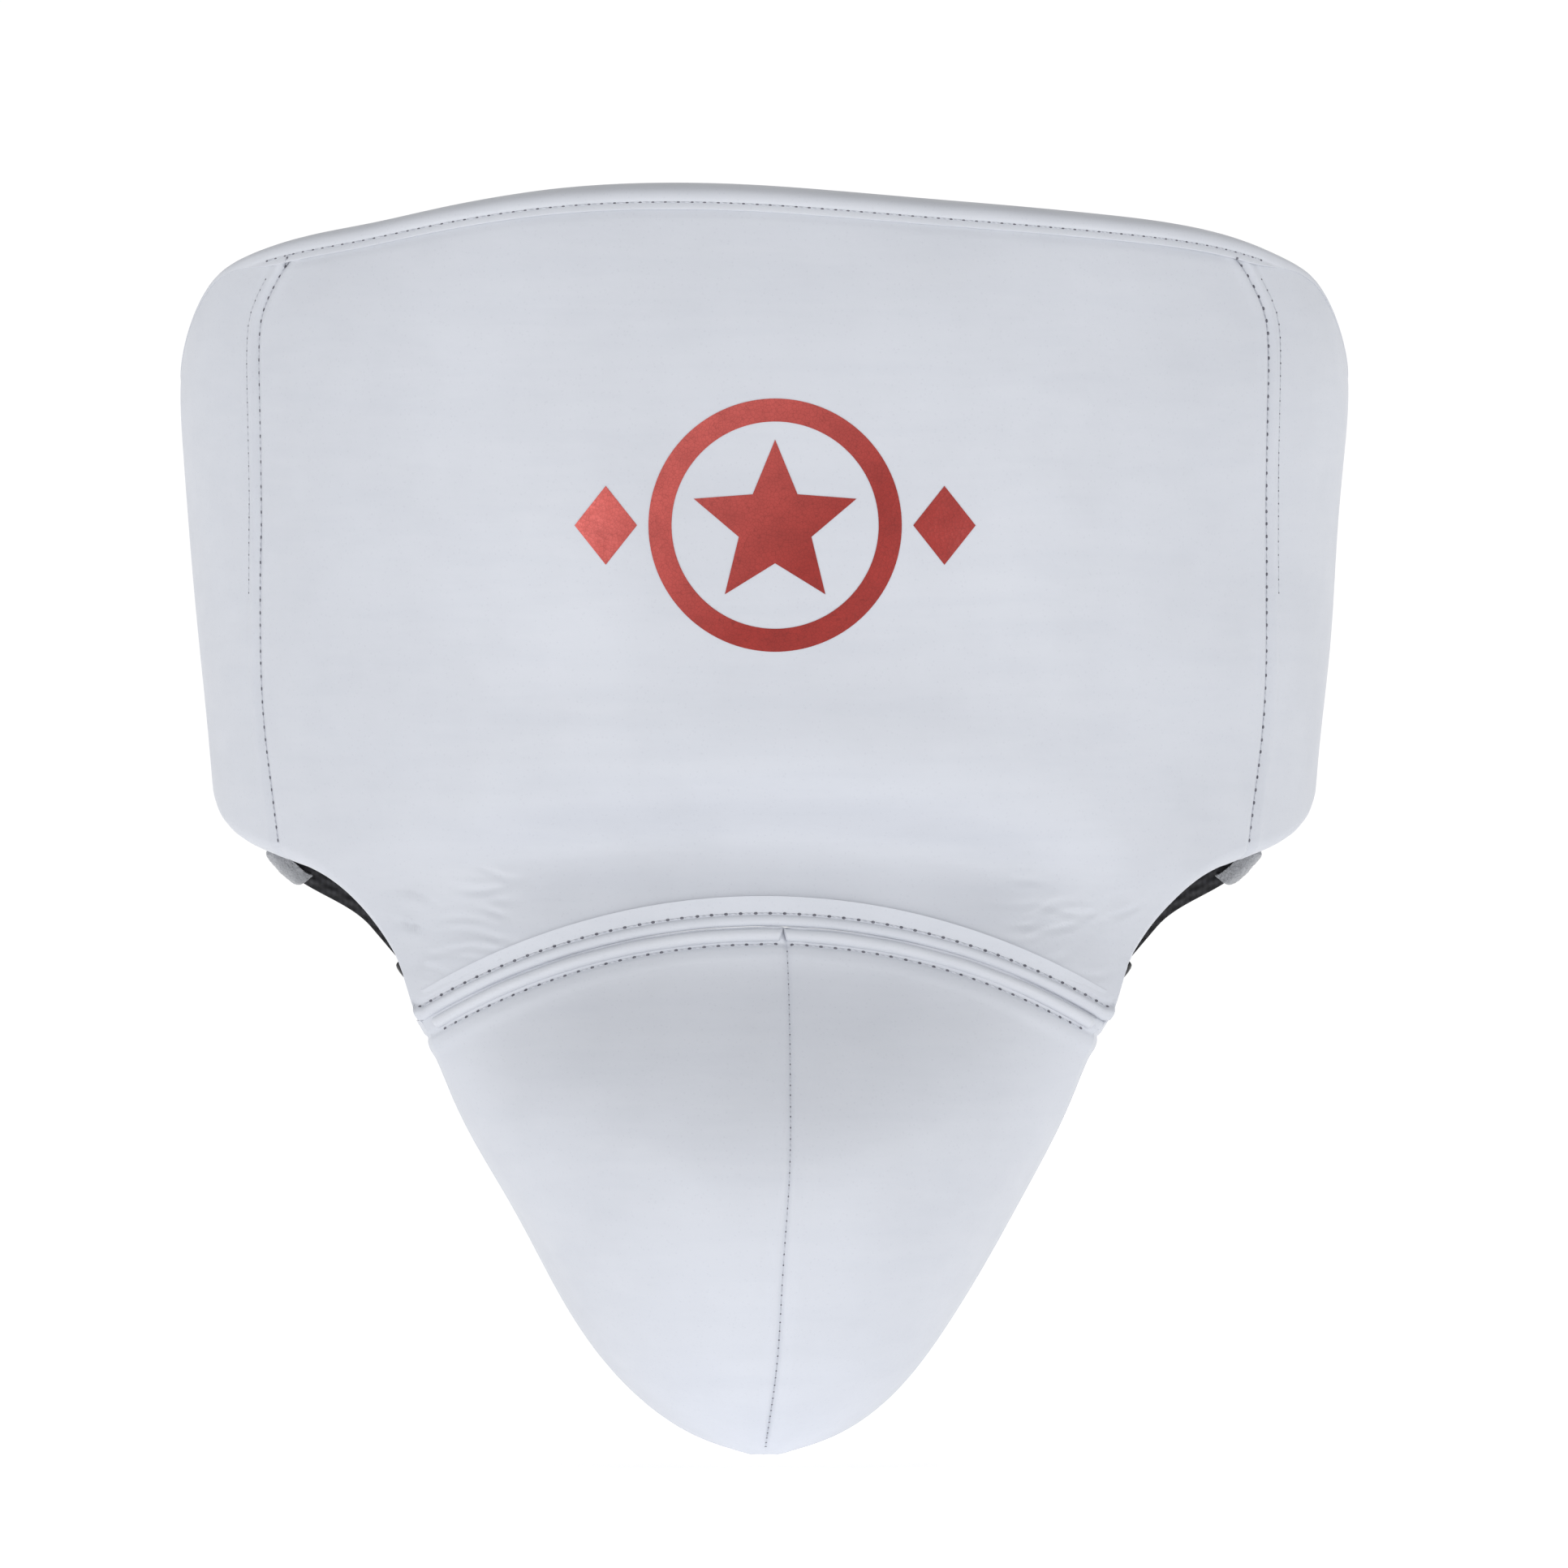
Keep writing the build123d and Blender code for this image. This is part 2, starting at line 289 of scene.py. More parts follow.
# ---------------------------------------------------------------- materials


class Paint:
    """A node material under construction: a Principled shader and helpers for the nodes that feed it."""

    def __init__(self, name, colour, roughness, **values):
        self.material = bpy.data.materials.new(name)
        self.material.use_nodes = True
        self.nodes = self.material.node_tree.nodes
        self.links = self.material.node_tree.links
        self.shader = self.nodes["Principled BSDF"]
        self.shader.inputs["Base Color"].default_value = (*colour, 1)
        self.shader.inputs["Roughness"].default_value = roughness
        for key, value in values.items():
            self.shader.inputs[key.replace("_", " ").title().replace("Ior", "IOR")].default_value = value
        self.place = self.nodes.new("ShaderNodeTexCoord").outputs["Object"]
        self.height = None

    def link(self, source, target):
        self.links.new(source, target)

    def stretch(self, scale):
        node = self.nodes.new("ShaderNodeMapping")
        node.inputs["Scale"].default_value = scale
        self.link(self.place, node.inputs["Vector"])
        return node.outputs["Vector"]

    def noise(self, scale, detail=3, roughness=0.55, place=None, warp=0.0):
        node = self.nodes.new("ShaderNodeTexNoise")
        node.inputs["Scale"].default_value = scale
        node.inputs["Detail"].default_value = detail
        node.inputs["Roughness"].default_value = roughness
        node.inputs["Distortion"].default_value = warp
        self.link(place or self.place, node.inputs["Vector"])
        return node.outputs["Fac"]

    def cells(self, scale, feature="F1"):
        node = self.nodes.new("ShaderNodeTexVoronoi")
        node.feature = feature
        node.inputs["Scale"].default_value = scale
        self.link(self.place, node.inputs["Vector"])
        return node.outputs["Distance"]

    def wave(self, width, direction, warp=0.0):
        """Sine bands, each light or dark one about that many millimetres wide."""
        node = self.nodes.new("ShaderNodeTexWave")
        node.bands_direction = direction
        node.inputs["Scale"].default_value = 1 / (width * MM) / 6.28
        node.inputs["Distortion"].default_value = warp
        self.link(self.place, node.inputs["Vector"])
        return node.outputs["Fac"]

    def mix(self, factor, low, high, at=(0.3, 0.7)):
        """A colour ramp between two colours along a factor."""
        node = self.nodes.new("ShaderNodeValToRGB")
        for stop, colour, place in zip(node.color_ramp.elements, (low, high), at):
            stop.color = (*colour, 1)
            stop.position = place
        self.link(factor, node.inputs["Fac"])
        return node.outputs["Color"]

    def range(self, factor, low, high, start=0.3, end=0.7):
        node = self.nodes.new("ShaderNodeMapRange")
        for key, value in (("From Min", start), ("From Max", end), ("To Min", low), ("To Max", high)):
            node.inputs[key].default_value = value
        self.link(factor, node.inputs["Value"])
        return node.outputs["Result"]

    def multiply(self, first, second):
        node = self.nodes.new("ShaderNodeMix")
        node.data_type = "RGBA"
        node.blend_type = "MULTIPLY"
        node.inputs["Factor"].default_value = 1
        self.link(first, node.inputs["A"])
        self.link(second, node.inputs["B"])
        return node.outputs["Result"]

    def relief(self, factor, millimetres, strength=1.0):
        """Adds a bump layer of that height over the ones before it."""
        node = self.nodes.new("ShaderNodeBump")
        node.inputs["Distance"].default_value = millimetres * MM
        node.inputs["Strength"].default_value = strength
        self.link(factor, node.inputs["Height"])
        if self.height:
            self.link(self.height, node.inputs["Normal"])
        self.height = node.outputs["Normal"]
        self.link(self.height, self.shader.inputs["Normal"])

    def colour(self, source):
        self.link(source, self.shader.inputs["Base Color"])

    def roughness(self, source):
        self.link(source, self.shader.inputs["Roughness"])


def leather(name, tint):
    """White coated leather: fine pebbled grain, pores, faint streaks along the hide and scuffed patches."""
    low = [part * 0.955 for part in tint]
    paint = Paint(name, tint, 0.46, specular_ior_level=0.42, sheen_weight=0.06, sheen_roughness=0.5)
    cloudy = paint.mix(paint.noise(17, 4, 0.6), low, tint, (0.32, 0.62))
    streaks = paint.mix(
        paint.noise(40, 3, 0.6, paint.stretch((0.35, 1, 4))), (0.972, 0.975, 0.98), (1, 1, 1), (0.3, 0.6)
    )
    pores = paint.mix(paint.cells(620), (0.93, 0.93, 0.94), (1, 1, 1), (0.0, 0.25))
    paint.colour(paint.multiply(paint.multiply(cloudy, streaks), pores))
    paint.roughness(paint.range(paint.noise(60, 4, 0.6), 0.40, 0.54))
    paint.relief(paint.noise(95, 3, 0.5), 0.16, 0.6)
    paint.relief(paint.cells(560, "SMOOTH_F1"), 0.045, 0.7)
    paint.relief(paint.noise(2200, 2, 0.6), 0.012, 0.7)
    return paint.material


def woven(name, colour, width):
    """Close plain-woven cloth: two crossing sets of threads of that width."""
    paint = Paint(name, colour, 0.85, sheen_weight=0.3, sheen_roughness=0.4)
    light = [min(1, part * 2.0 + 0.004) for part in colour]
    weft = paint.wave(width, "Z", 0.3)
    warp = paint.wave(width, "X", 0.3)
    threads = paint.nodes.new("ShaderNodeMath")
    threads.operation = "MAXIMUM"
    paint.link(weft, threads.inputs[0])
    paint.link(warp, threads.inputs[1])
    paint.colour(paint.multiply(
        paint.mix(threads.outputs[0], colour, light, (0.2, 0.95)),
        paint.mix(paint.noise(120, 3), (0.78, 0.78, 0.78), (1, 1, 1)),
    ))
    paint.relief(threads.outputs[0], 0.12, 0.8)
    paint.relief(paint.noise(2500, 2), 0.03, 0.6)
    return paint.material


def elastic_cloth():
    """Black woven elastic: lengthwise cords with short cross threads between them."""
    colour, light = (0.010, 0.010, 0.013), (0.032, 0.032, 0.038)
    paint = Paint("elastic_black", colour, 0.72, sheen_weight=0.35, sheen_roughness=0.35)
    cords = paint.wave(1.6, "Z", 0.15)
    cross = paint.wave(0.9, "X", 0.8)
    paint.colour(paint.multiply(
        paint.mix(cords, colour, light, (0.1, 0.9)),
        paint.mix(cross, (0.65, 0.65, 0.65), (1, 1, 1), (0.1, 0.8)),
    ))
    paint.roughness(paint.range(paint.noise(300, 3), 0.62, 0.82))
    paint.relief(cords, 0.18, 0.9)
    paint.relief(cross, 0.08, 0.8)
    return paint.material


def pile(name, colour):
    """Brushed loop pile: short tangled fibres."""
    light = [min(1, part * 1.25) for part in colour]
    paint = Paint(name, colour, 0.95, sheen_weight=0.5, sheen_roughness=0.6)
    tangle = paint.noise(900, 4, 0.7, warp=1.2)
    paint.colour(paint.multiply(
        paint.mix(tangle, colour, light),
        paint.mix(paint.noise(80, 3), (0.82, 0.82, 0.84), (1, 1, 1)),
    ))
    paint.relief(tangle, 0.5, 0.9)
    paint.relief(paint.cells(1100), 0.3, 0.8)
    return paint.material


def hook_tape():
    """Moulded hooks in close rows."""
    paint = Paint("hook_tape", (0.014, 0.014, 0.016), 0.5, specular_ior_level=0.4)
    rows = paint.cells(800)
    paint.colour(paint.mix(rows, (0.05, 0.05, 0.055), (0.01, 0.01, 0.011), (0.05, 0.5)))
    paint.relief(rows, -0.6, 0.9)
    paint.relief(paint.wave(1.2, "Z"), 0.2, 0.6)
    return paint.material


def moulded(name, colour, roughness, mottle=0.85):
    """Moulded plastic with a fine spark-eroded texture and scuffed high spots."""
    paint = Paint(name, colour, roughness, specular_ior_level=0.45)
    dark = [part * mottle for part in colour]
    paint.colour(paint.mix(paint.noise(70, 4, 0.6), dark, colour))
    paint.roughness(paint.range(paint.noise(240, 3), roughness - 0.07, roughness + 0.1))
    paint.relief(paint.noise(1600, 3, 0.6), 0.04, 0.8)
    return paint.material


def foam_block():
    """Closed-cell foam: small round cells, a little yellowed."""
    paint = Paint("foam_grey", (0.20, 0.21, 0.22), 0.9, sheen_weight=0.1)
    paint.colour(paint.mix(paint.cells(700), (0.15, 0.15, 0.155), (0.23, 0.24, 0.25), (0.05, 0.4)))
    paint.relief(paint.cells(700), 0.25, 0.8)
    return paint.material


def thread_fibre():
    """Bonded thread: two-ply twist along its length."""
    paint = Paint("thread_pale", (0.50, 0.52, 0.57), 0.6, sheen_weight=0.2)
    twist = paint.wave(0.5, "DIAGONAL", 0.4)
    paint.colour(paint.mix(twist, (0.42, 0.44, 0.49), (0.56, 0.58, 0.63), (0.2, 0.8)))
    paint.relief(twist, 0.06, 0.7)
    return paint.material


def needle_hole_shade():
    """Painted shade: the dark bottom of a stitch hole, set on the leather as a small flat dark blob."""
    paint = Paint("needle_hole_shade", (0.12, 0.12, 0.14), 0.9, specular_ior_level=0.1)
    paint.colour(paint.mix(paint.noise(700, 2), (0.09, 0.09, 0.11), (0.19, 0.19, 0.22)))
    return paint.material


def red_foil():
    """Red hot-stamped foil with a fine crackle, and painted light: lighter to the upper right of the wearer,
    darker below.
    """
    paint = Paint("foil_red_with_painted_light", (0.42, 0.04, 0.03), 0.36, metallic=0.35, specular_ior_level=0.5)
    slope = paint.nodes.new("ShaderNodeSeparateXYZ")
    paint.link(paint.place, slope.inputs[0])
    fall = paint.nodes.new("ShaderNodeMath")
    fall.operation = "SUBTRACT"
    paint.link(slope.outputs["X"], fall.inputs[0])
    paint.link(slope.outputs["Z"], fall.inputs[1])
    painted_light_share = paint.range(fall.outputs[0], 0, 1, -0.075, 0.06)
    # Painted light: a ramp from light at the upper right to dark below, standing in for how light falls on
    # the foil.
    painted_light_ramp = paint.mix(painted_light_share, (0.62, 0.115, 0.10), (0.33, 0.024, 0.018), (0.0, 0.75))
    blotch = paint.mix(paint.noise(120, 4, 0.65), (0.80, 0.76, 0.76), (1, 1, 1), (0.3, 0.7))
    grain = paint.mix(paint.cells(900, "DISTANCE_TO_EDGE"), (0.74, 0.70, 0.70), (1, 1, 1), (0.0, 0.08))
    paint.colour(paint.multiply(paint.multiply(painted_light_ramp, blotch), grain))
    paint.roughness(paint.range(paint.noise(200, 3), 0.30, 0.46))
    paint.relief(paint.noise(420, 3, 0.6), 0.10, 0.7)
    paint.relief(paint.cells(900), 0.04, 0.7)
    return paint.material


WHITE = leather("leather_white", (0.606, 0.628, 0.682))
TRIM = leather("leather_trim", (0.622, 0.643, 0.694))
LINING = woven("lining_black", (0.012, 0.012, 0.014), 0.6)
ELASTIC = elastic_cloth()
GREY_PILE = pile("pile_grey", (0.36, 0.37, 0.39))
HOOKS = hook_tape()
PLASTIC = moulded("plastic_black", (0.016, 0.016, 0.018), 0.38)
HARD_SHELL = moulded("plastic_shell", (0.60, 0.60, 0.57), 0.45, 0.93)
FOAM = foam_block()
THREAD = thread_fibre()
# Painted shade: the dark blobs set at the needle holes.
HOLE_SHADE = needle_hole_shade()
FOIL = red_foil()


# ---------------------------------------------------------------- the apron's surface


def arch(x):
    """Height of the arched seam."""
    x = np.clip(x, -SEAM_HALF, SEAM_HALF)
    return SEAM_APEX - SEAM_RADIUS + np.sqrt(SEAM_RADIUS ** 2 - x ** 2)


def arch_lean(x):
    """Cosine of the seam's slope, which turns a height above it into a distance from it."""
    return np.sqrt(1 - (np.clip(x, -SEAM_HALF, SEAM_HALF) / SEAM_RADIUS) ** 2)


def seam_angle(z):
    """Angle round the waist of the side seam, in degrees."""
    return np.degrees(np.arcsin(side_seam(z) / side_width(z)))


def plain_x(angle, z):
    """Sideways place of the plain worn form at that angle and height."""
    return side_width(z) * np.sin(np.radians(angle))


def above_seam(x, z):
    """Distance above the arched seam, square to it."""
    return (z - arch(x)) * arch_lean(x)


def cap_drop(angle):
    """How far the cap's lower edge lies below the top edge: less past the side seams."""
    return CAP_FRONT + (CAP_SIDE - CAP_FRONT) * smooth(56, 68, np.abs(angle))


def under_cap(angle, z):
    """Distance below the cap's lower edge."""
    return top_edge(angle) - cap_drop(angle) - z


def low_edge(angle):
    """Height of the apron's low edge: the arched seam in front, the leg cut-outs and hips beside it."""
    z = np.full(np.shape(angle), SEAM_APEX)
    for _ in range(10):
        z = arch(pad_face(angle, z)[0][..., 0])
    return np.where(np.abs(angle) < LOW_EDGE[0][0], z, leg_edge(np.abs(angle)))


def fold_creases():
    """Creases beside the leg cut-outs, where the soft band folds: place, lean, length, width and depth."""
    creases = []
    for side in (-1, 1):
        for _ in range(17):
            across = rng.uniform(76, 116)
            low = arch(across) + 8 if across < SEAM_HALF else -136
            height = rng.uniform(low, low + 26)
            lean = side * rng.normal(13, 9)
            creases.append((side * across, height, lean, rng.uniform(4, 9), rng.uniform(0.75, 1.2),
                            rng.uniform(0.18, 0.44)))
    return creases


CREASES = fold_creases()
WAVES = [(rng.normal(0, 0.045), rng.normal(0, 0.06), rng.uniform(0, 6.3), rng.uniform(0.05, 0.16))
         for _ in range(14)]


def hand_made(x, z):
    """The slight unevenness of stretched leather."""
    total = np.zeros(np.broadcast(x, z).shape)
    for across, up, start, height in WAVES:
        total = total + height * np.sin(across * x + up * z + start)
    return total


def crease_relief(x, z):
    total = np.zeros(np.broadcast(x, z).shape)
    for cx, cz, lean, length, width, depth in CREASES:
        cos, sin = math.cos(math.radians(lean)), math.sin(math.radians(lean))
        along = (x - cx) * cos + (z - cz) * sin
        near = np.abs(along) < 2.6 * length
        if not near.any():
            continue
        off = (z - cz) * cos - (x - cx) * sin - 0.02 * along ** 2 * np.sign(lean + 0.1)
        groove = np.exp(-(off / width) ** 2) - 0.45 * np.exp(-((np.abs(off) - 2.2 * width) / width) ** 2)
        total = total - np.where(near, depth * groove * np.exp(-(along / length) ** 2), 0)
    return total


def pad_relief(x, z, angle):
    """How far the leather stands off the plain worn form: padding, the fold under the pad, the seam ends."""
    above = above_seam(x, z)
    below_cap = under_cap(angle, z)
    spread = np.abs(x)
    beside = side_seam(z) - spread
    full = (1 - np.exp(-np.maximum(below_cap, 0) / 16)) * (1 - np.exp(-(np.abs(beside) / 13) ** 1.4))
    lip = -95.0 - 0.0013 * x ** 2 - 0.02 * x
    over = z - lip
    front = 1 - smooth(62, 112, spread - 0.06 * x)
    valley = np.where(over > 0, bump(over, 0, 11), bump(over, 0, 17))
    relief = 1.6 * full * smooth(-4, 18, over)
    relief = relief + front * (2.6 * bump(over, 27, 17) - 7.6 * valley)
    relief = relief + 2.0 * bump(above, 0, 12) * (spread < 130)
    flare = smooth(36, 92, spread) * (1 - smooth(104, 128, spread))
    relief = relief + 5.2 * flare * bump(above, 0, 24)
    lump = bump(x, 92, 15) * bump(z, -112, 9) + 0.5 * bump(x, -90, 16) * bump(z, -108, 10)
    return relief + 1.5 * lump + hand_made(x, z)


def seam_relief(x, z, angle):
    """Grooves, folds and stitch channels sewn into the leather."""
    above = above_seam(x, z)
    on_arch = np.abs(x) < SEAM_HALF + 3
    ridge = np.sqrt(np.clip(1 - ((above - FOLD_ABOVE / 2) / (FOLD_ABOVE / 2)) ** 2, 0, 1))
    relief = np.where(on_arch, 1.1 * ridge - 0.7 * bump(above, FOLD_ABOVE + 0.6, 0.8), 0)
    beside = np.abs(x) - side_seam(z)
    upper = smooth(-60, 10, z)
    relief = relief - 1.15 * bump(beside, 0, 0.9)
    relief = relief + 0.4 * bump(beside, 1.7, 1.0) + 0.3 * bump(beside, -2.4, 1.6)
    relief = relief - 0.3 * upper * bump(beside, LAP, 0.7)
    below_cap = under_cap(angle, z)
    return relief - 0.3 * bump(below_cap, 0.4, 1.2)


def wrap(angle, z, lift):
    """A point at that angle round the waist and height, lifted off the plain form along its normal."""
    turn = np.radians(angle)
    width, depth = side_width(z), ring_depth(z)
    out_x, out_y = np.sin(turn) / width, -np.cos(turn) / depth
    size = np.hypot(out_x, out_y)
    x = width * np.sin(turn) + lift * out_x / size
    y = -depth * np.cos(turn) + lift * out_y / size
    return np.stack(np.broadcast_arrays(x, y, z), -1)


def pad_face(angle, z):
    """The padded surface before its seams are sewn: the point and how far it stands off the plain form."""
    lift = pad_relief(plain_x(angle, z), z, angle)
    return wrap(angle, z, lift), lift


def apron_lift(angle, z):
    point, lift = pad_face(angle, z)
    x = point[..., 0]
    return lift + seam_relief(x, z, angle) + crease_relief(x, z)


def front_angle(x, z):
    """The angle round the waist whose padded point shows at that place in the front view."""
    width = side_width(z)
    angle = np.degrees(np.arcsin(np.clip(x / width, -0.999, 0.999)))
    for _ in range(6):
        off = x - pad_face(angle, z)[0][..., 0]
        angle = np.degrees(np.arcsin(np.clip(np.sin(np.radians(angle)) + off / width, -0.999, 0.999)))
    return angle


def apron_point(x, z):
    """The leather's point in front at that place, and its normal, for stitches and the print."""
    x, z = np.broadcast_arrays(np.asarray(x, float), np.asarray(z, float))
    places = []
    for dx, dz in ((0, 0), (0.6, 0), (0, 0.6)):
        angle = front_angle(x + dx, z + dz)
        places.append(wrap(angle, z + dz, apron_lift(angle, z + dz)))
    return places[0], unit(np.cross(places[1] - places[0], places[2] - places[0]))


def pad_thickness(angle, z):
    """Thickness of the pad: thin in the soft band above the arched seam, full above that."""
    x = plain_x(angle, z)
    above = above_seam(x, z)
    side = smooth(104, 140, np.abs(x))
    return HEM + (PAD - HEM) * (1 - (1 - smooth(17, 34, above)) * (1 - side))


def panel_grid(angles_at, heights):
    """Rows from the cap down to the low edge and round under it, at angles that may change with height."""
    cols = angles_at(np.array([0.0])).shape[-1]
    angle = angles_at(np.zeros(cols))
    for _ in range(6):
        low = low_edge(angle)
        angle = angles_at(low)
    narrow = 1 - smooth(38.5, 43.5, np.abs(angle))
    roll = 1.3 * narrow + 5.5 * (1 - narrow)
    inward = 2.8 * narrow + 16 * (1 - narrow)
    start = low + roll
    rows = []
    for height in heights:
        here = angle
        for _ in range(6):
            span = top_edge(here) - cap_drop(here) + 1.0 - start
            upper = LOWER_FACE + (span - LOWER_FACE) * (height - LOWER_FACE) / LOWER_FACE
            z = start + np.where(height < LOWER_FACE, height, upper)
            here = angles_at(z)
        rows.append(wrap(here, z, apron_lift(here, z)))
    here = angles_at(start)
    face = apron_lift(here, start)
    for turn in np.linspace(0, math.pi, 11)[1:]:
        drop = roll * math.sin(turn)
        rows.insert(0, wrap(here, start - drop, face - inward * (1 - math.cos(turn)) / 2))
    for up in (2.0, 5.0, 8.0):
        rows.insert(0, wrap(here, start + up, face - inward))
    return np.array(rows)[::-1]


FACE_HEIGHTS = graded((0, 7, 0.42), (7, LOWER_FACE, 0.75), (LOWER_FACE, 88, 0.75), (88, FACE_TOP, 0.25))
SIDE_HEIGHTS = graded((0, 7, 1.0), (7, FACE_TOP, 1.7))


def spread_angles(parts):
    """Columns across the front panel from side seam to side seam, at any height."""
    def angles_at(z):
        return parts * seam_angle(z)
    return angles_at


def side_angles(side, parts):
    """Columns from a side seam back to the hip's end, at any height."""
    def angles_at(z):
        start = seam_angle(z)
        return side * (start + parts * (END_ANGLE - start))
    return angles_at


def inner_skin(grid, thickness):
    """The same grid moved inward by a sheet's thickness."""
    normals = grid_normals(grid)
    outward = (grid * normals)[..., :2].sum(-1)
    if outward[len(grid) // 3].sum() < 0:
        normals = -normals
    return grid - normals * thickness


def bend_at_seam(obj):
    """Leather, lining and thread that cross the fold between the apron and the cup: the placement is baked
    into the mesh, and no body holds them.
    """
    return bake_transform(obj)


def make_apron_leather():
    fine = graded((0, 0.44, 0.0105), (0.44, 0.86, 0.0052), (0.86, 1, 0.0065))
    parts = np.concatenate([-fine[:0:-1], fine])
    grid = panel_grid(spread_angles(parts), FACE_HEIGHTS)
    front = shell("front_panel_leather", grid, inner_skin(grid, LEATHER), WHITE, "white_leather")
    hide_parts("front_panel", "front_panel_fold")
    bend_at_seam(front)

    parts = graded((0, 0.2, 0.011), (0.2, 1, 0.025))
    for side, name in ((1, "left"), (-1, "right")):
        grid = panel_grid(side_angles(side, parts), SIDE_HEIGHTS)
        panel = shell(f"side_panel_leather_{name}", grid, inner_skin(grid, LEATHER), WHITE, "white_leather")
        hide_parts(f"side_panel_{name}")
        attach(panel, "apron")


def top_section(angle, thickness):
    """Points across the top roll at each angle, from the outer edge of the cap over to the inside."""
    top = top_edge(angle)
    front = 1 - smooth(56, 66, np.abs(angle))
    proud = 0.15 + 0.4 * front
    edge = cap_drop(angle)
    lift = hand_made(plain_x(angle, top), top) + proud
    rows = []
    for part in (0, 0.08, 0.2, 0.42, 0.58, 0.74, 0.9):
        drop = edge - part * (edge - CAP_ROUND)
        dip = 0.45 * front * np.exp(-((drop - CAP_STITCH) / 0.6) ** 2) + (0.35 if part == 0 else 0)
        rows.append(wrap(angle, top - drop, lift - dip))
    for turn in np.linspace(0.1, math.pi - 0.1, 19):
        side = (1 - math.cos(turn)) / 2
        rise = math.sin(turn) ** 0.75
        rows.append(wrap(angle, top - CAP_ROUND + CAP_ROUND * rise, lift - side * thickness))
    for drop in (6, 9, 12):
        rows.append(wrap(angle, top - drop, lift - thickness))
    return np.array(rows)


def make_top_cap():
    """The folded leather band over the top edge."""
    angles = np.linspace(-END_ANGLE, END_ANGLE, 420)
    thickness = PAD - 1.0 - 5.0 * smooth(80, 117, np.abs(angles))
    grid = top_section(angles, thickness)
    cap = shell("top_cap_leather", grid, inner_skin(grid, LEATHER), TRIM, "white_leather")
    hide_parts("top_cap")
    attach(cap, "apron")


def make_apron_lining():
    """Black lining behind the pads and the soft band, from the cap's inner edge to the arched seam."""
    angles = np.linspace(-END_ANGLE, END_ANGLE, 260)
    low, high = low_edge(angles) + 5.5, top_edge(angles) - 7.5
    rows = []
    for part in graded((0, 0.35, 0.0125), (0.35, 1, 0.02)):
        z = low + part * (high - low)
        thick = pad_thickness(angles, z) + 1.2 * bump(part, 1, 0.04)
        ends = 5.0 * smooth(90, 117, np.abs(angles))
        quilt = 0.5 * np.cos(z * 0.11) + 0.25 * hand_made(plain_x(angles, z), z)
        rows.append(wrap(angles, z, -thick + ends + quilt))
    grid = np.array(rows)
    behind = inner_skin(grid, -1.0)
    lining = shell("apron_lining_cloth", grid, behind, LINING, "lining")
    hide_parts("apron_lining", "lining_fold")
    bend_at_seam(lining)


def foam_grid(angles, depth_share, low_gap, high_gap):
    """One face of a foam pad inside the apron, at a share of the pad's thickness."""
    low = low_edge(angles) + low_gap
    high = top_edge(angles) - high_gap
    rows = []
    for part in np.linspace(0, 1, 60):
        z = low + part * (high - low)
        x = plain_x(angles, z)
        outer = pad_relief(x, z, angles) - LEATHER - 1.0
        inner = -pad_thickness(angles, z) + 1.6
        edge = 1 - (np.abs(2 * part - 1)) ** 8
        middle = (outer + inner) / 2
        lift = middle + (outer - inner) / 2 * (2 * depth_share - 1) * (0.25 + 0.75 * edge)
        rows.append(wrap(angles, z, lift))
    return np.array(rows)


def make_foam():
    limits = (("abdominal_foam_pad", -58.5, 58.5, 24, "abdominal_foam"),
              ("hip_foam_pad_left", 66.5, 115.5, 7, "hip_foam_left"),
              ("hip_foam_pad_right", -115.5, -66.5, 7, "hip_foam_right"))
    for name, start, end, low_gap, node in limits:
        angles = np.linspace(start, end, 90)
        pad = shell(name, foam_grid(angles, 1, low_gap, 9), foam_grid(angles, 0, low_gap, 9), FOAM, "foam")
        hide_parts(node)
        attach(pad, "apron")


# ---------------------------------------------------------------- the cup's surface

levels = np.array(CUP_LEVELS)
run = np.concatenate([[0], np.cumsum(np.hypot(np.diff(levels[:, 0]), np.diff(levels[:, 1])))])
cup_height, cup_half, cup_reach, cup_rear = (curve(list(zip(run, levels[:, i]))) for i in range(4))
RUN_END = run[-1]


def cup_ring(place, turn, inset=0.0):
    """A point of the cup: how far down its outline, and its angle in the ring (180 right rim, 360 left)."""
    half, reach, rear = cup_half(place), cup_reach(place), cup_rear(place)
    depth = reach - rear
    z = cup_height(place)
    share = np.clip((SEAM_END - z) / (SEAM_END - levels[-1, 0]), 0, 1)
    z = z + inset * share ** 2
    half = half - np.minimum(inset, 0.6 * half)
    depth = depth - np.minimum(inset, 0.6 * depth)
    angle = np.radians(turn)
    return np.stack(np.broadcast_arrays(half * np.cos(angle), -rear + depth * np.sin(angle), z), -1)


def seam_start(turn):
    """How far down the outline each ring angle meets the arched seam."""
    low, high = np.zeros(np.shape(turn)), np.full(np.shape(turn), RUN_END * 0.5)
    for _ in range(28):
        middle = (low + high) / 2
        above = cup_height(middle) > arch(cup_half(middle) * np.cos(np.radians(turn)))
        low, high = np.where(above, middle, low), np.where(above, high, middle)
    return (low + high) / 2


def seam_depth(x):
    """Where the apron's leather stands in depth along the arched seam."""
    z = arch(x)
    return pad_face(front_angle(x, z), z)[0][..., 1]


def cup_surface(place, turn, inset=0.0):
    """The cup's leather: its rings, eased at the top to meet the apron along the seam."""
    point = cup_ring(place, turn, inset)
    within = np.clip(turn, 180 + RIM_FREE, 360 - RIM_FREE)
    edge = cup_ring(seam_start(within), within)
    gap = seam_depth(edge[..., 0]) - edge[..., 1]
    below = np.maximum(edge[..., 2] - point[..., 2], 0)
    point[..., 1] = point[..., 1] + gap * (1 - smooth(0, 46, below))
    return point


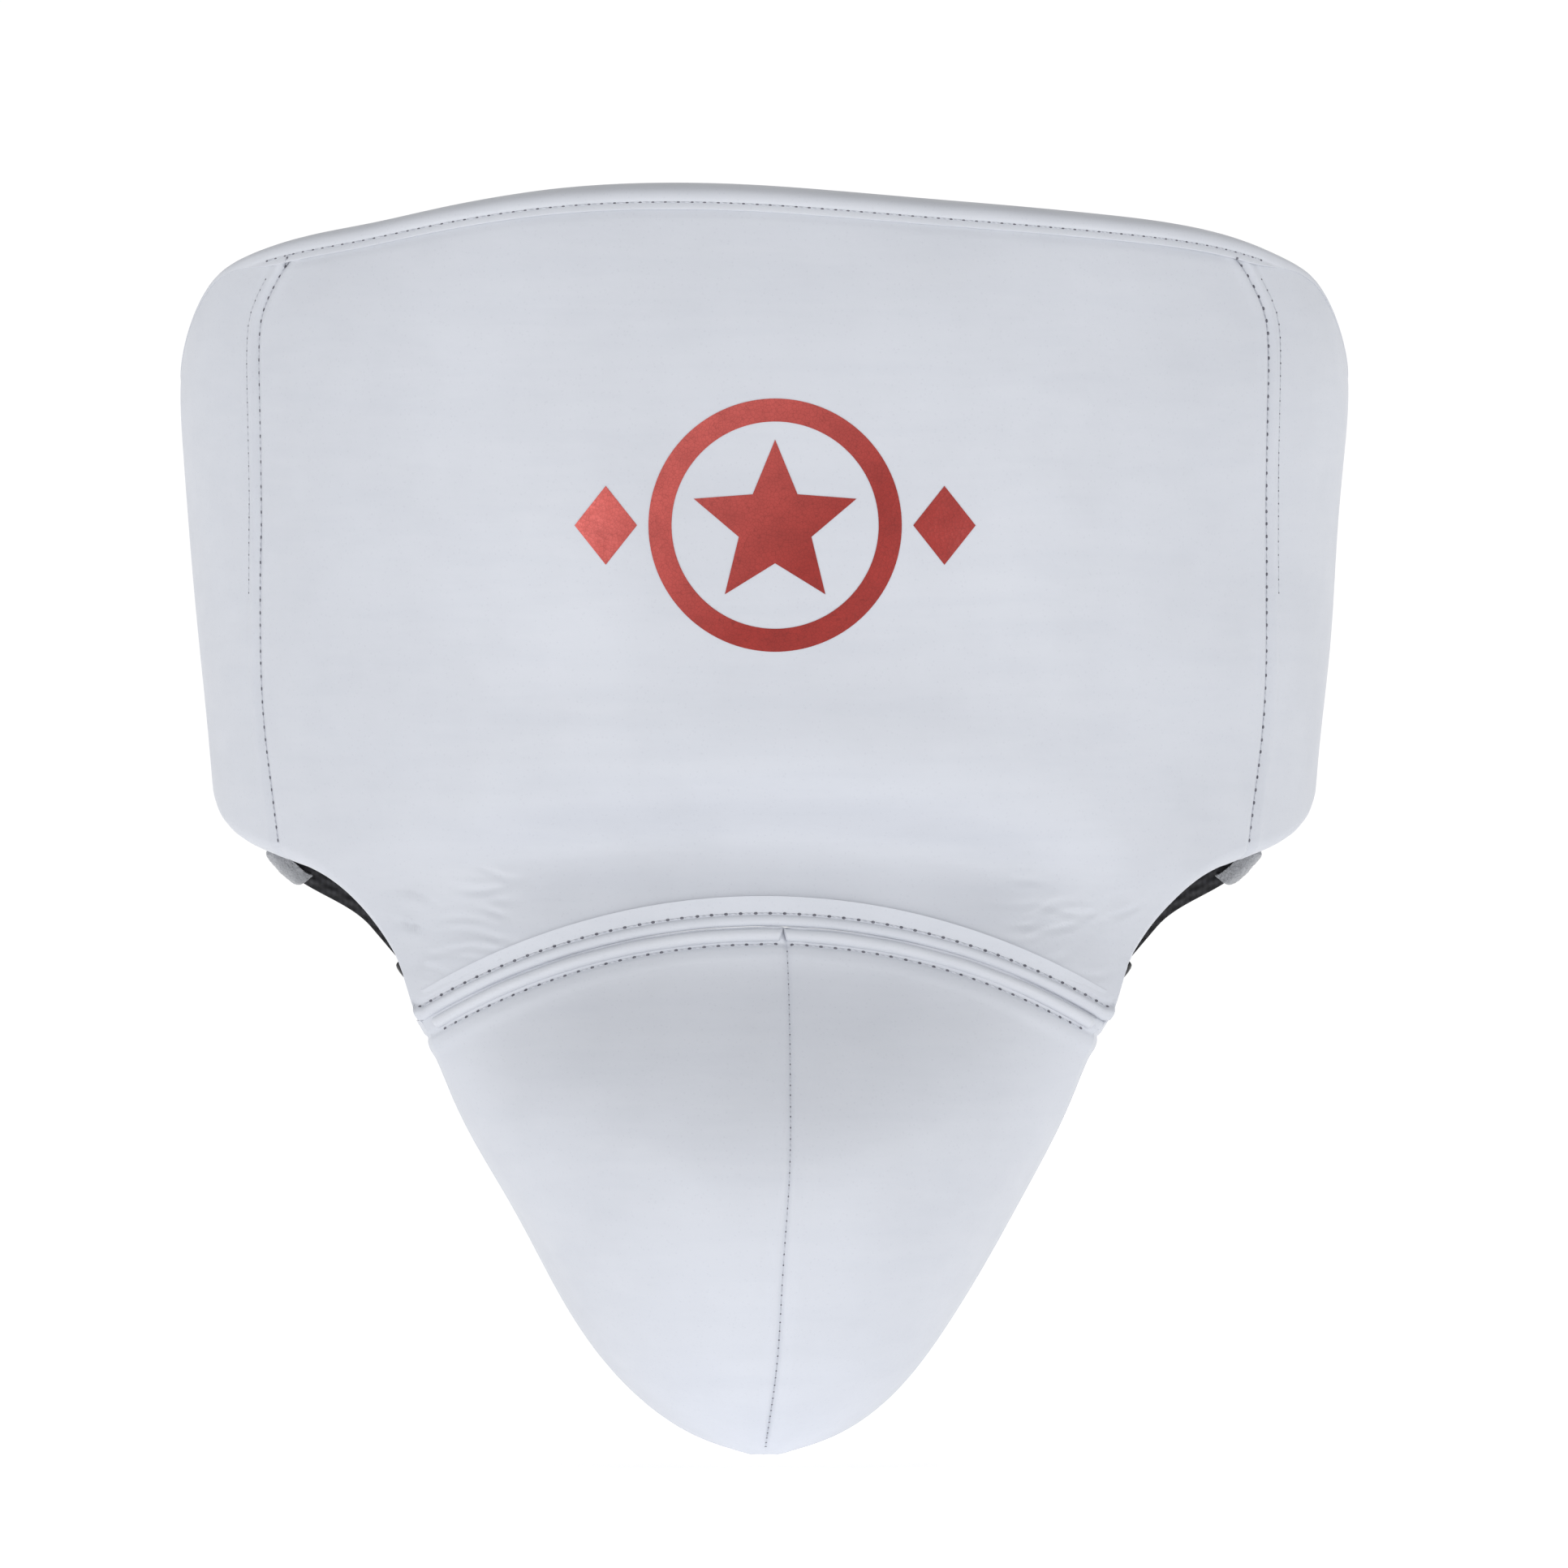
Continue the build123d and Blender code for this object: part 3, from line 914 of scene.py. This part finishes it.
def cup_detail(grid):
    """Lifts the cup's grid along its normals: middle seam, stitch channel, soft unevenness."""
    x, z = grid[..., 0], grid[..., 2]
    beside = x - middle_seam(z)
    below = -above_seam(x, z)
    lift = -0.8 * bump(beside, 0, 0.8) + 0.55 * bump(np.abs(beside), 4.0, 3.0) + 0.9 * hand_made(x + 40, z)
    lift = lift - 0.6 * bump(below, WELT_WIDTH + 0.9, 0.9) + 0.5 * bump(below, WELT_WIDTH + 4.5, 2.5)
    fade = smooth(-0.5, 6, np.hypot(x, z + 284))
    normals = grid_normals(grid)
    if normals[..., 1].sum() > 0:
        normals = -normals
    return grid + normals * (lift * fade)[..., None]


def cover_grid(side):
    """One cup cover from the middle seam to the rim and round it, rows from the arched seam to the tip."""
    parts = graded((0, 0.07, 0.0045), (0.07, 1, 0.0135))
    downs = graded((0, 14, 0.5), (14, 100, 1.35))
    rim = 360.0 if side > 0 else 180.0
    rows = []
    middle = np.full(len(parts), 270.0)
    turn = middle + parts * (rim - middle)
    start = seam_start(turn)
    for down in downs:
        for _ in range(4):
            here = start + np.where(down < 14, down, 14 + (RUN_END - start - 14) * (down - 14) / 86)
            ratio = middle_seam(cup_height(here)) / np.maximum(cup_half(here), 1e-3)
            middle = 270 + np.degrees(np.arcsin(np.clip(ratio, -0.6, 0.6)))
            turn = middle + parts * (rim - middle)
            start = seam_start(turn)
        rows.append(cup_surface(here, turn))
    grid = cup_detail(np.array(rows))
    edge = grid[:, -1]
    radius = np.minimum(COVER_ROLL, 0.3 * np.abs(edge[:, 0]) + 0.02)[:, None]
    down = unit(np.gradient(edge, axis=0))
    inward = unit(np.cross(down, [0, 1, 0]))
    if (inward[:, 0] * side).sum() > 0:
        inward = -inward
    rolled = [grid]
    for angle in np.linspace(0, math.pi * 0.95, 9)[1:]:
        over = edge + inward * radius * (1 - math.cos(angle)) + np.array([0, 1, 0]) * radius * math.sin(angle)
        rolled.append(over[:, None])
    return np.concatenate(rolled, axis=1)


def make_cup():
    for side, name in ((1, "left"), (-1, "right")):
        grid = cover_grid(side)
        normals = grid_normals(grid)
        if normals[20, 5, 1] > 0:
            normals = -normals
        thin = np.minimum(LEATHER, 0.25 * np.abs(grid[..., 0]) + 0.15)[..., None]
        cover = shell(f"cup_cover_leather_{name}", grid, grid - normals * thin, WHITE, "white_leather",
                      merge=True)
        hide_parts(f"cup_cover_{name}")
        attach(cover, "cup")

    turns = np.linspace(180, 360, 91)
    starts = seam_start(turns)
    layers = (("cup_padding_foam", PADDING_AT, FOAM, "foam", "cup_padding"),
              ("cup_shell_moulding", SHELL_AT, HARD_SHELL, "hard_shell", "cup_shell"),
              ("cup_liner_cloth", LINER_AT, LINING, "lining", "cup_liner"))
    for name, (near, deep), material, slot, node in layers:
        faces = []
        for inset in (near, deep):
            rows = []
            for part in np.linspace(0, 1, 70):
                place = starts + 1.0 + part * (RUN_END - 1.2 - starts - 1.0)
                rows.append(cup_surface(place, turns, inset))
            faces.append(np.array(rows))
        layer = shell(name, faces[0], faces[1], material, slot, merge=True)
        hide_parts(node)
        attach(layer, "cup")


def place_at(z, samples):
    """How far down the cup's outline a height lies."""
    places = np.linspace(0, RUN_END, samples)
    return np.interp(-z, -cup_height(places), places)


def rim_path(inset, count=90):
    """The cup's open edge from the right end of the seam round the tip to the left end, moved inward."""
    start = float(seam_start(np.array([180.0]))[0])
    places = np.linspace(start + 3, RUN_END - 0.4, count)
    right = cup_surface(places, np.full(count, 180.0))
    left = cup_surface(places, np.full(count, 360.0))[::-1]
    path = np.concatenate([right, left])
    along = unit(np.gradient(path, axis=0))
    inward = unit(np.cross([0, 1, 0], along))
    if (inward[count // 3] * (path[-count // 3] - path[count // 3])).sum() < 0:
        inward = -inward
    return path + inward * inset, inward


def make_rim():
    """The soft black cushion round the cup's open back, and the leather tongue that closes its tail."""
    path, inward = rim_path(8.2)
    ends = np.minimum(np.arange(len(path)), np.arange(len(path))[::-1])
    size = (np.minimum(1.0, 0.22 + np.abs(path[:, 0]) / 26) * (0.4 + 0.6 * smooth(0, 10, ends)))[:, None]
    rings = []
    for angle in np.linspace(0, 2 * math.pi, 18, endpoint=False):
        across, back = 6.2 * math.cos(angle), 6.6 * math.sin(angle) + 2.4
        rings.append(path + inward * across * size + np.array([0, 1, 0]) * back * size)
    rim = tube("rim_cushion_roll", np.array(rings).transpose(1, 0, 2), LINING, "lining")
    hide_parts("rim_cushion")
    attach(rim, "cup")

    start = float(place_at(TONGUE_TOP, 400))
    parts = np.linspace(-1, 1, 61)
    rows = []
    for down in graded((0, 0.9, 0.03), (0.9, 1, 0.012)):
        place = start + down * (RUN_END - start)
        half = float(cup_half(place)) * 0.985
        z = float(cup_height(place))
        puff = 1.5 * (1 - parts ** 4) * math.sin(math.pi * min(1, down * 1.1 + 0.02))
        edge = -0.8 * np.abs(parts) ** 12
        top = 2.5 * (1 - parts ** 2) * (1 - down) ** 3
        groove = -0.5 * np.exp(-((np.abs(parts) * half - half + 5) / 0.8) ** 2) * (half > 14)
        y = -float(cup_rear(place)) + 9.4 + puff + edge + groove
        rows.append(np.stack([parts * half, y, np.full(61, z) + top], -1))
    grid = np.array(rows)
    behind = grid - np.array([0, 1.8, 0])
    tongue = shell("tail_tongue_leather", grid, behind, TRIM, "white_leather", merge=True)
    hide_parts("tail_tongue")
    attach(tongue, "cup")


def seam_frames(x):
    """Along the arched seam: the point, the way down across it and the way out of the leather."""
    z = arch(x)
    point = np.stack([x, seam_depth(x), z], -1)
    along = unit(np.gradient(point, axis=0))
    below = np.stack([x, cup_front(x, z - 8), z - 8], -1)
    down = unit(below - point)
    out = unit(np.cross(along, down))
    out = np.where(out[:, 1:2] > 0, -out, out)
    down = unit(np.cross(out, along))
    down = np.where(down[:, 2:3] > 0, -down, down)
    return point, down, out


def cup_front(x, z):
    """Depth of the cup's leather at a place in the front view."""
    x, z = np.broadcast_arrays(np.asarray(x, float), np.asarray(z, float))
    place = place_at(z, 900)
    ratio = np.clip(x / np.maximum(cup_half(place), 1e-3), -0.9995, 0.9995)
    turn = 270 + np.degrees(np.arcsin(ratio))
    return cup_surface(place, turn)[..., 1]


def cup_point(x, z):
    """The cup's leather point in front at that place, and its normal."""
    x, z = np.broadcast_arrays(np.asarray(x, float), np.asarray(z, float))
    places = [np.stack([x + dx, cup_front(x + dx, z + dz), z + dz], -1)
              for dx, dz in ((0, 0), (0.5, 0), (0, 0.5))]
    return places[0], unit(np.cross(places[1] - places[0], places[2] - places[0]))


def make_welt():
    """The folded strip of leather sewn in below the arched seam, in two lengths that meet at the apex."""
    apex = float(middle_seam(SEAM_APEX)) - 1.0
    pieces = []
    for start, end, name in ((-105.6, apex, "right"), (apex + 0.5, 106.2, "left")):
        x = np.linspace(start, end, 150)
        point, down, out = seam_frames(np.clip(x, -SEAM_HALF, SEAM_HALF))
        point[:, 0] = x
        rings = []
        ends = np.clip(np.minimum(x - start, end - x) / 1.6, 0.0, 1.0)
        taper = (0.35 + 0.65 * np.sqrt(1 - (1 - ends) ** 2))[:, None]
        for angle in np.linspace(0, 2 * math.pi, 20, endpoint=False):
            across = 2.35 + 2.05 * math.cos(angle)
            lift = -0.5 + (2.0 if math.sin(angle) > 0 else 0.6) * math.sin(angle)
            wobble = 0.12 * np.sin(x * 0.31 + 1.3)[:, None]
            rings.append(point + down * (0.3 + across * taper) + out * (lift * taper + wobble))
        pieces.append(tube(f"arch_welt_{name}", np.array(rings).transpose(1, 0, 2), TRIM, "white_leather"))
    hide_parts("arch_seam_welt")
    for obj in pieces:
        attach(obj, "cup")


# ---------------------------------------------------------------- stitches


def along_path(points, normals, pitch):
    """Evenly spaced places on a path, with the normals there."""
    lengths = np.concatenate([[0], np.cumsum(np.linalg.norm(np.diff(points, axis=0), axis=1))])
    count = max(2, int(round(lengths[-1] / pitch)))
    at = np.linspace(0, lengths[-1], count + 1)
    at[1:-1] = at[1:-1] + rng.uniform(-0.18, 0.18, count - 1)
    spots = np.stack([np.interp(at, lengths, points[:, i]) for i in range(3)], -1)
    ups = unit(np.stack([np.interp(at, lengths, normals[:, i]) for i in range(3)], -1))
    return spots, ups


def leather_trees():
    """Ray-casting trees of the finished leather pieces."""
    graph = bpy.context.evaluated_depsgraph_get()
    graph.update()
    pieces = [obj for obj in bpy.context.scene.objects
              if obj.type == "MESH" and obj.data.materials and obj.data.materials[0] in (WHITE, TRIM)]
    return [BVHTree.FromObject(obj, graph) for obj in pieces]


def seat(points, ups):
    """Moves points along their normals onto the outermost leather."""
    seated = []
    for point, up in zip(points, ups):
        start = Vector((point + up * SEAT_REACH) * MM)
        hits = [tree.ray_cast(start, Vector(-up), 2 * SEAT_REACH * MM) for tree in TREES]
        hits = [hit for hit in hits if hit[0] is not None]
        seated.append(np.array(min(hits, key=lambda hit: hit[3])[0]) / MM if hits else point)
    return np.array(seated)


def sew(name, paths, pitch, fasten, hole_shade=(0.62, 0.44, 0.2), thread=0.26, lift=0.05):
    """A row of stitches: a dark blob of painted shade at each needle hole and a thread sunk between each two.
    """
    hole_shades, threads = [[], [], [], []], [[], [], [], []]
    for points, normals in paths:
        spots, ups = along_path(points, normals, pitch)
        spots = seat(spots, ups)
        way = unit(np.gradient(spots, axis=0))
        side = unit(np.cross(ups, way))
        for store, rows in zip(hole_shades, (spots + ups * lift, way, side, ups)):
            store.append(rows)
        up = unit(ups[:-1] + ups[1:])
        middle = seat((spots[:-1] + spots[1:]) / 2, up)
        run_way = unit(spots[1:] - spots[:-1])
        frames = (middle + up * (lift - 0.05), run_way, unit(np.cross(up, run_way)), up)
        for store, rows in zip(threads, frames):
            store.append(rows)
    hole_shades = [np.concatenate(rows) for rows in hole_shades]
    threads = [np.concatenate(rows) for rows in threads]
    # Painted shade: a dark blob at each needle hole stands in for the shade inside it.
    shade_dots = copies(f"{name}_holes", *ball(hole_shade, 8, 4), hole_shades, HOLE_SHADE, "thread")
    lines = copies(f"{name}_thread", *ball((pitch * 0.42, thread, thread), 6, 6), threads, THREAD, "thread")
    for obj in (shade_dots, lines):
        fasten(obj)


def on_cup(obj):
    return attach(obj, "cup")


def on_apron(obj):
    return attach(obj, "apron")


def make_stitches():
    x = np.linspace(-SEAM_HALF + 1.0, SEAM_HALF - 1.0, 200)
    lean = x / SEAM_RADIUS
    gap = FOLD_ABOVE + 0.7
    upper = apron_point(x + gap * lean, arch(x) + gap * arch_lean(x))
    sew("arch_upper_stitches", [upper], STITCH_PITCH, bend_at_seam)

    gap = WELT_WIDTH + 1.1
    paths = []
    apex = float(middle_seam(SEAM_APEX))
    for start, end in ((-SEAM_HALF + 4, apex - 3.0), (apex + 2.2, SEAM_HALF - 4)):
        x = np.linspace(start, end, 120)
        paths.append(cup_point(x - gap * x / SEAM_RADIUS, arch(x) - gap * arch_lean(x)))
    sew("arch_lower_stitches", paths, STITCH_PITCH, on_cup)

    z = np.linspace(SEAM_APEX - 7.5, -281.5, 220)
    middle = cup_point(middle_seam(z), z)
    sew("middle_seam_stitches", [middle], 3.6, on_cup, hole_shade=(0.34, 0.55, 0.16), lift=0.0)

    main, second = [], []
    for side in (-1, 1):
        z = np.linspace(83, -96, 200)
        main.append(apron_point(side * side_seam(z), z))
        z = np.linspace(76, -20, 120)
        second.append(apron_point(side * (side_seam(z) + LAP), z))
    sew("side_seam_stitches", main, SIDE_PITCH, on_apron)
    sew("side_lap_stitches", second, SIDE_PITCH, on_apron, hole_shade=(0.34, 0.26, 0.1), thread=0.2)

    angles = np.linspace(-59, 59, 400)
    top = top_edge(angles)
    z = top - CAP_STITCH
    lift = hand_made(plain_x(angles, top), top) + 0.2
    points = wrap(angles, z, lift)
    ups = unit(wrap(angles, z, lift + 1) - points)
    sew("cap_stitches", [(points, ups)], 4.0, on_apron, hole_shade=(0.55, 0.26, 0.14))


# ---------------------------------------------------------------- printed emblem


def make_emblem():
    """A generic mark in red foil: a ring round a five-pointed star with a lozenge each side."""
    centre_x, centre_z = 3.5, 0.0

    def print_on(name, flat):
        points, normals = apron_point(centre_x + flat[..., 0], centre_z + flat[..., 1])
        obj = shell(name, points + normals * 0.16, points + normals * 0.03, FOIL, "foil_print")
        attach(obj, "apron")

    turns = np.linspace(0, 2 * math.pi, 181)
    ring = np.array([[(size * math.sin(t), size * math.cos(t)) for t in turns]
                     for size in np.linspace(31.5, 38.5, 6)])
    print_on("emblem_ring", ring)

    outer, inner = 26.0, 11.6
    for point in range(5):
        turn = 2 * math.pi * point / 5
        step = math.pi / 5
        tip = outer * np.array([math.sin(turn), math.cos(turn)])
        before = inner * np.array([math.sin(turn - step), math.cos(turn - step)])
        after = inner * np.array([math.sin(turn + step), math.cos(turn + step)])
        parts = np.linspace(0, 1, 16)
        kite = np.array([[u * (1 - v) * before + (1 - u) * v * after + u * v * tip for u in parts]
                         for v in parts])
        print_on(f"emblem_star_{point + 1}", kite)

    for side, name in ((-1, "right"), (1, "left")):
        lozenge = np.array([[(side * (51.5 + 9.5 * s), 12.0 * w * (1 - abs(s)))
                             for w in np.linspace(-1, 1, 9)]
                            for s in np.linspace(-0.995, 0.995, 25)])
        print_on(f"emblem_lozenge_{name}", lozenge)


# ---------------------------------------------------------------- belt, straps and fittings

BELT = (159.7, 109.7)
BELT_HALF = 36.0
BELT_ROOT_DEPTH = 36.0


def belt_band(name, start, end, low, thickness, half, material, slot, side=1, ribs=0.0, columns=120):
    """A band on edge round the back from one angle to another, its inner face that far off the belt's."""
    turns = np.radians(np.linspace(start, end, columns))
    heights = np.linspace(-1, 1, 121 if ribs else 41)
    faces = []
    for face in (0, 1):
        rows = []
        for height in heights:
            edge = 1 - abs(height) ** 14
            off = low + thickness / 2 + (face - 0.5) * thickness * (0.35 + 0.65 * edge)
            off = off + (face - 0.5) * ribs * math.cos(height * half * math.pi / 1.5)
            wave = 0.5 * np.sin(turns * 5 + 0.6) * height ** 3
            x, y = (BELT[0] + off) * np.cos(turns), (BELT[1] + off) * np.sin(turns)
            rows.append(np.stack([side * x, y, np.full(columns, height * half) + wave], -1))
        faces.append(np.array(rows))
    return shell(name, faces[1], faces[0], material, slot)


def belt_angle(x, off):
    """Angle on the belt's ellipse at that sideways place, behind the back."""
    return math.degrees(math.acos(x / (BELT[0] + off)))


def make_belt():
    root = math.degrees(math.asin(BELT_ROOT_DEPTH / BELT[1]))
    left = belt_band("waist_belt_elastic_left", root, belt_angle(-50, 1.4), 0, 2.8, BELT_HALF, ELASTIC,
                     "elastic", ribs=0.35)
    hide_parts("waist_belt_left", "belt_anchor_left")
    right = belt_band("waist_belt_elastic_right", root, belt_angle(-50, 7.2), 5.8, 2.8, BELT_HALF, ELASTIC,
                      "elastic", side=-1, ribs=0.35)
    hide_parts("waist_belt_right", "belt_anchor_right")
    for obj, body, place in ((left, "belt_left", 129.6), (right, "belt_right", -137.8)):
        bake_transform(obj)

    loop = belt_band("loop_patch_pile", belt_angle(45, 3.6), belt_angle(-45, 3.6), 2.75, 1.55, 31, GREY_PILE,
                     "grey_pile", columns=70)
    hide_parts("loop_patch")
    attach(loop, "belt_left")
    hook = belt_band("hook_patch_tape", belt_angle(45, 5.2), belt_angle(-45, 5.2), 4.6, 1.25, 31, HOOKS,
                     "hook", columns=70)
    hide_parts("hook_patch")
    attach(hook, "belt_right")
    tab = belt_band("pull_tab_leather", belt_angle(74, 7.2), belt_angle(46, 7.2), 5.6, 3.2, 19, TRIM,
                    "white_leather", columns=40)
    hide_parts("pull_tab")
    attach(tab, "belt_right")

    outer = 8.8
    edge = math.radians(belt_angle(48.5, outer))
    x, y = (BELT[0] + outer) * math.cos(edge), (BELT[1] + outer) * math.sin(edge)
    points = np.array([(x, y, z) for z in np.linspace(-17, 17, 40)])
    out = np.tile(unit(np.array([0.3, 1.0, 0.0])), (40, 1))
    sew("pull_tab_stitches", [(points, out)], 3.2, lambda obj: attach(obj, "belt_right"), lift=0.1)


# The leg strap's path in its own plane: along the chord from the hip corner to the tongue, and back in depth
STRAP_START = np.array([130.0, -24.0, -101.0])
STRAP_ALONG = np.array([-0.6430, 0.0, -0.7658])
STRAP_WIDTH_WAY = np.array([0.7658, 0.0, -0.6430])
STRAP_RUN = 171.06
STRAP_LEAD = 54.0
STRAP_RISE = math.radians(25)
STRAP_LEAD_WAY = np.array([math.cos(STRAP_RISE), math.sin(STRAP_RISE)])
STRAP_BACK = -22.0
STRAP_HALF = 12.5
SLIDER_AT = 47.0


def strap_path(count=120):
    """Distances along the chord and behind it: a straight lead, then the arc that it is tangent to."""
    lead = STRAP_LEAD * STRAP_LEAD_WAY
    end = np.array([STRAP_RUN, STRAP_BACK])
    normal = np.array([math.sin(STRAP_RISE), -math.cos(STRAP_RISE)])
    chord = end - lead
    radius = chord @ chord / (2 * chord @ normal)
    centre = lead + normal * radius
    first = math.atan2(*(lead - centre)[::-1])
    last = math.atan2(*(end - centre)[::-1])
    turns = np.linspace(first, last, count)
    arc = centre + radius * np.stack([np.cos(turns), np.sin(turns)], -1)
    straight = np.linspace(0, 1, 30)[:-1, None] * lead
    return np.concatenate([straight, arc])


def strap_frame(local, across, off, side):
    """Points of the strap: a place on the path, across its width and off its face."""
    way = unit(np.gradient(local, axis=0))
    normal = np.stack([-way[:, 1], way[:, 0]], -1)
    place = local + normal * np.broadcast_to(off, len(local))[:, None]
    run = local[:, 0]
    swing = 3.4 - 8.6 * smooth(-10, 22, run) + 5.2 * smooth(90, STRAP_RUN, run)
    shift = np.broadcast_to(across, len(local)) + swing
    points = STRAP_START + place[:, :1] * STRAP_ALONG + place[:, 1:] * np.array([0, 1.0, 0])
    return (points + shift[:, None] * STRAP_WIDTH_WAY) * np.array([side, 1, 1])


def make_leg_straps():
    path = np.concatenate([np.linspace(-16, -1, 8)[:, None] * STRAP_LEAD_WAY, strap_path()])
    for side, name in ((1, "left"), (-1, "right")):
        faces = []
        for face in (-1, 1):
            rows = []
            for across in np.linspace(-1, 1, 61):
                thick = 1.1 * (1 - 0.5 * abs(across) ** 10) + 0.14 * math.cos(across * 12.5 * math.pi / 1.25)
                rows.append(strap_frame(path, across * STRAP_HALF, face * thick, side))
            faces.append(np.array(rows))
        strap = shell(f"leg_strap_elastic_{name}", faces[1], faces[0], ELASTIC, "elastic")
        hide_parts(f"leg_strap_{name}")
        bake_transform(strap)

        tab_path = np.linspace(-17.0, -2.5, 30)[:, None] * STRAP_LEAD_WAY
        section = [(across, 2.1) for across in np.linspace(-12.0, 11.4, 20)]
        section += [(11.5 + 2.1 * math.sin(turn), 2.1 * math.cos(turn)) for turn in np.linspace(0.2, 3.0, 12)]
        section += [(across, -2.1) for across in np.linspace(11.3, 9.0, 5)]
        section = np.array(section)
        way = unit(np.gradient(section, axis=0))
        normal = np.stack([-way[:, 1], way[:, 0]], -1)
        ends = np.abs(np.linspace(-1, 1, 30)) ** 10
        faces = []
        for face in (0.85, -0.85):
            rows = []
            for place, out in zip(section, normal):
                wide, off = place + out * face
                fuzz = 0.07 * rng.standard_normal(30)
                across = wide - 0.5 * ends + fuzz
                rows.append(strap_frame(tab_path, across, off * (1 - 0.1 * ends) + fuzz, side))
            faces.append(np.array(rows))
        tab = shell(f"strap_tab_pile_{name}", faces[0], faces[1], GREY_PILE, "grey_pile")
        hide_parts(f"strap_tab_{name}")
        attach(tab, "apron")

        make_slider(side, name)


def make_slider(side, name):
    """A moulded frame round the strap, all edges rounded."""
    centre = SLIDER_AT * STRAP_LEAD_WAY
    turns = np.linspace(0, 2 * math.pi, 96, endpoint=False)
    wide = 13.9 * np.sign(np.cos(turns)) * np.abs(np.cos(turns)) ** 0.28
    thick = 2.7 * np.sign(np.sin(turns)) * np.abs(np.sin(turns)) ** 0.4
    loop = np.stack([wide, thick], -1)
    way = unit(np.roll(loop, -1, axis=0) - np.roll(loop, 1, axis=0))
    normal = np.stack([way[:, 1], -way[:, 0]], -1)
    rings = []
    for turn in np.linspace(0, 2 * math.pi, 16, endpoint=False):
        depth = 6.4 * math.copysign(abs(math.cos(turn)) ** 0.5, math.cos(turn))
        rise = 1.1 * math.copysign(abs(math.sin(turn)) ** 0.7, math.sin(turn))
        flat = loop + normal * rise
        path = np.array([centre + (depth + step) * STRAP_LEAD_WAY for step in (-1, 0, 1)])
        rings.append([strap_frame(path, across, off, side)[1] for across, off in flat])
    slider = tube(f"strap_slider_frame_{name}", np.array(rings).transpose(1, 0, 2), PLASTIC, "slider_plastic",
                  closed=True)
    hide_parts(f"strap_slider_{name}")
    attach(slider, f"slider_{name}")


# ---------------------------------------------------------------- studio


def area_light(name, place, target, size, power):
    light = bpy.data.lights.new(name, "AREA")
    light.shape = "RECTANGLE"
    light.size, light.size_y = size
    light.energy = power
    obj = bpy.data.objects.new(name, light)
    obj.location = place
    direction = np.array(target) - np.array(place)
    obj.rotation_euler = look_along(direction)
    bpy.context.scene.collection.objects.link(obj)


def look_along(direction):
    return Vector(direction).to_track_quat("-Z", "Y").to_euler()


def make_studio():
    """A wide pale floor under a soft dome, bright round the horizon and dimmer overhead."""
    floor_z, reach = -0.2895, 16.0
    mesh = bpy.data.meshes.new("studio_floor")
    corners = [(reach * x, reach * y, floor_z) for x, y in ((-1, -1), (1, -1), (1, 1), (-1, 1))]
    mesh.from_pydata(corners, [], [(0, 1, 2, 3)])
    paint = Paint("studio_white", (0.92, 0.92, 0.925), 0.9)
    paint.shader.inputs["Emission Color"].default_value = (1, 1, 1, 1)
    paint.shader.inputs["Emission Strength"].default_value = 0.56
    mesh.materials.append(paint.material)
    floor = bpy.data.objects.new("studio_floor", mesh)
    bpy.context.scene.collection.objects.link(floor)

    world = bpy.data.worlds.new("studio_world")
    world.use_nodes = True
    nodes, links = world.node_tree.nodes, world.node_tree.links
    place = nodes.new("ShaderNodeTexCoord")
    split = nodes.new("ShaderNodeSeparateXYZ")
    links.new(place.outputs["Generated"], split.inputs[0])
    ramp = nodes.new("ShaderNodeMapRange")
    ramp.interpolation_type = "SMOOTHSTEP"
    for key, value in (("From Min", 0.12), ("From Max", 0.75), ("To Min", 1.03), ("To Max", 0.42)):
        ramp.inputs[key].default_value = value
    links.new(split.outputs["Z"], ramp.inputs["Value"])
    links.new(ramp.outputs["Result"], nodes["Background"].inputs["Strength"])
    nodes["Background"].inputs["Color"].default_value = (1, 1, 1, 1)
    bpy.context.scene.world = world
    aim = (0, 0, -0.09)
    area_light("low_left", (-1.5, -1.9, -0.12), aim, (1.2, 0.3), 7.4)
    area_light("low_right", (1.7, -1.8, -0.12), aim, (1.0, 0.3), 6.4)


def make_camera():
    """Level with the object's middle, square to its front, from far enough to look almost parallel."""
    lens = bpy.data.cameras.new("camera")
    distance, framed = 8.0, 0.4811
    centre_x, face_y, centre_z = 0.0062, -0.06, -0.0787
    lens.sensor_width = 36
    lens.lens = 36 * distance / framed
    lens.clip_end = 60
    obj = bpy.data.objects.new("camera", lens)
    obj.location = (centre_x, face_y - distance, centre_z)
    obj.rotation_euler = look_along((0, 1, 0))
    bpy.context.scene.collection.objects.link(obj)
    bpy.context.scene.camera = obj
    bpy.context.scene.view_settings.view_transform = "Standard"
    bpy.context.scene.view_settings.look = "None"


make_camera()
make_studio()
make_apron_leather()
make_top_cap()
make_foam()
make_apron_lining()
make_cup()
make_rim()
make_welt()
TREES = leather_trees()
make_stitches()
make_emblem()
make_belt()
make_leg_straps()
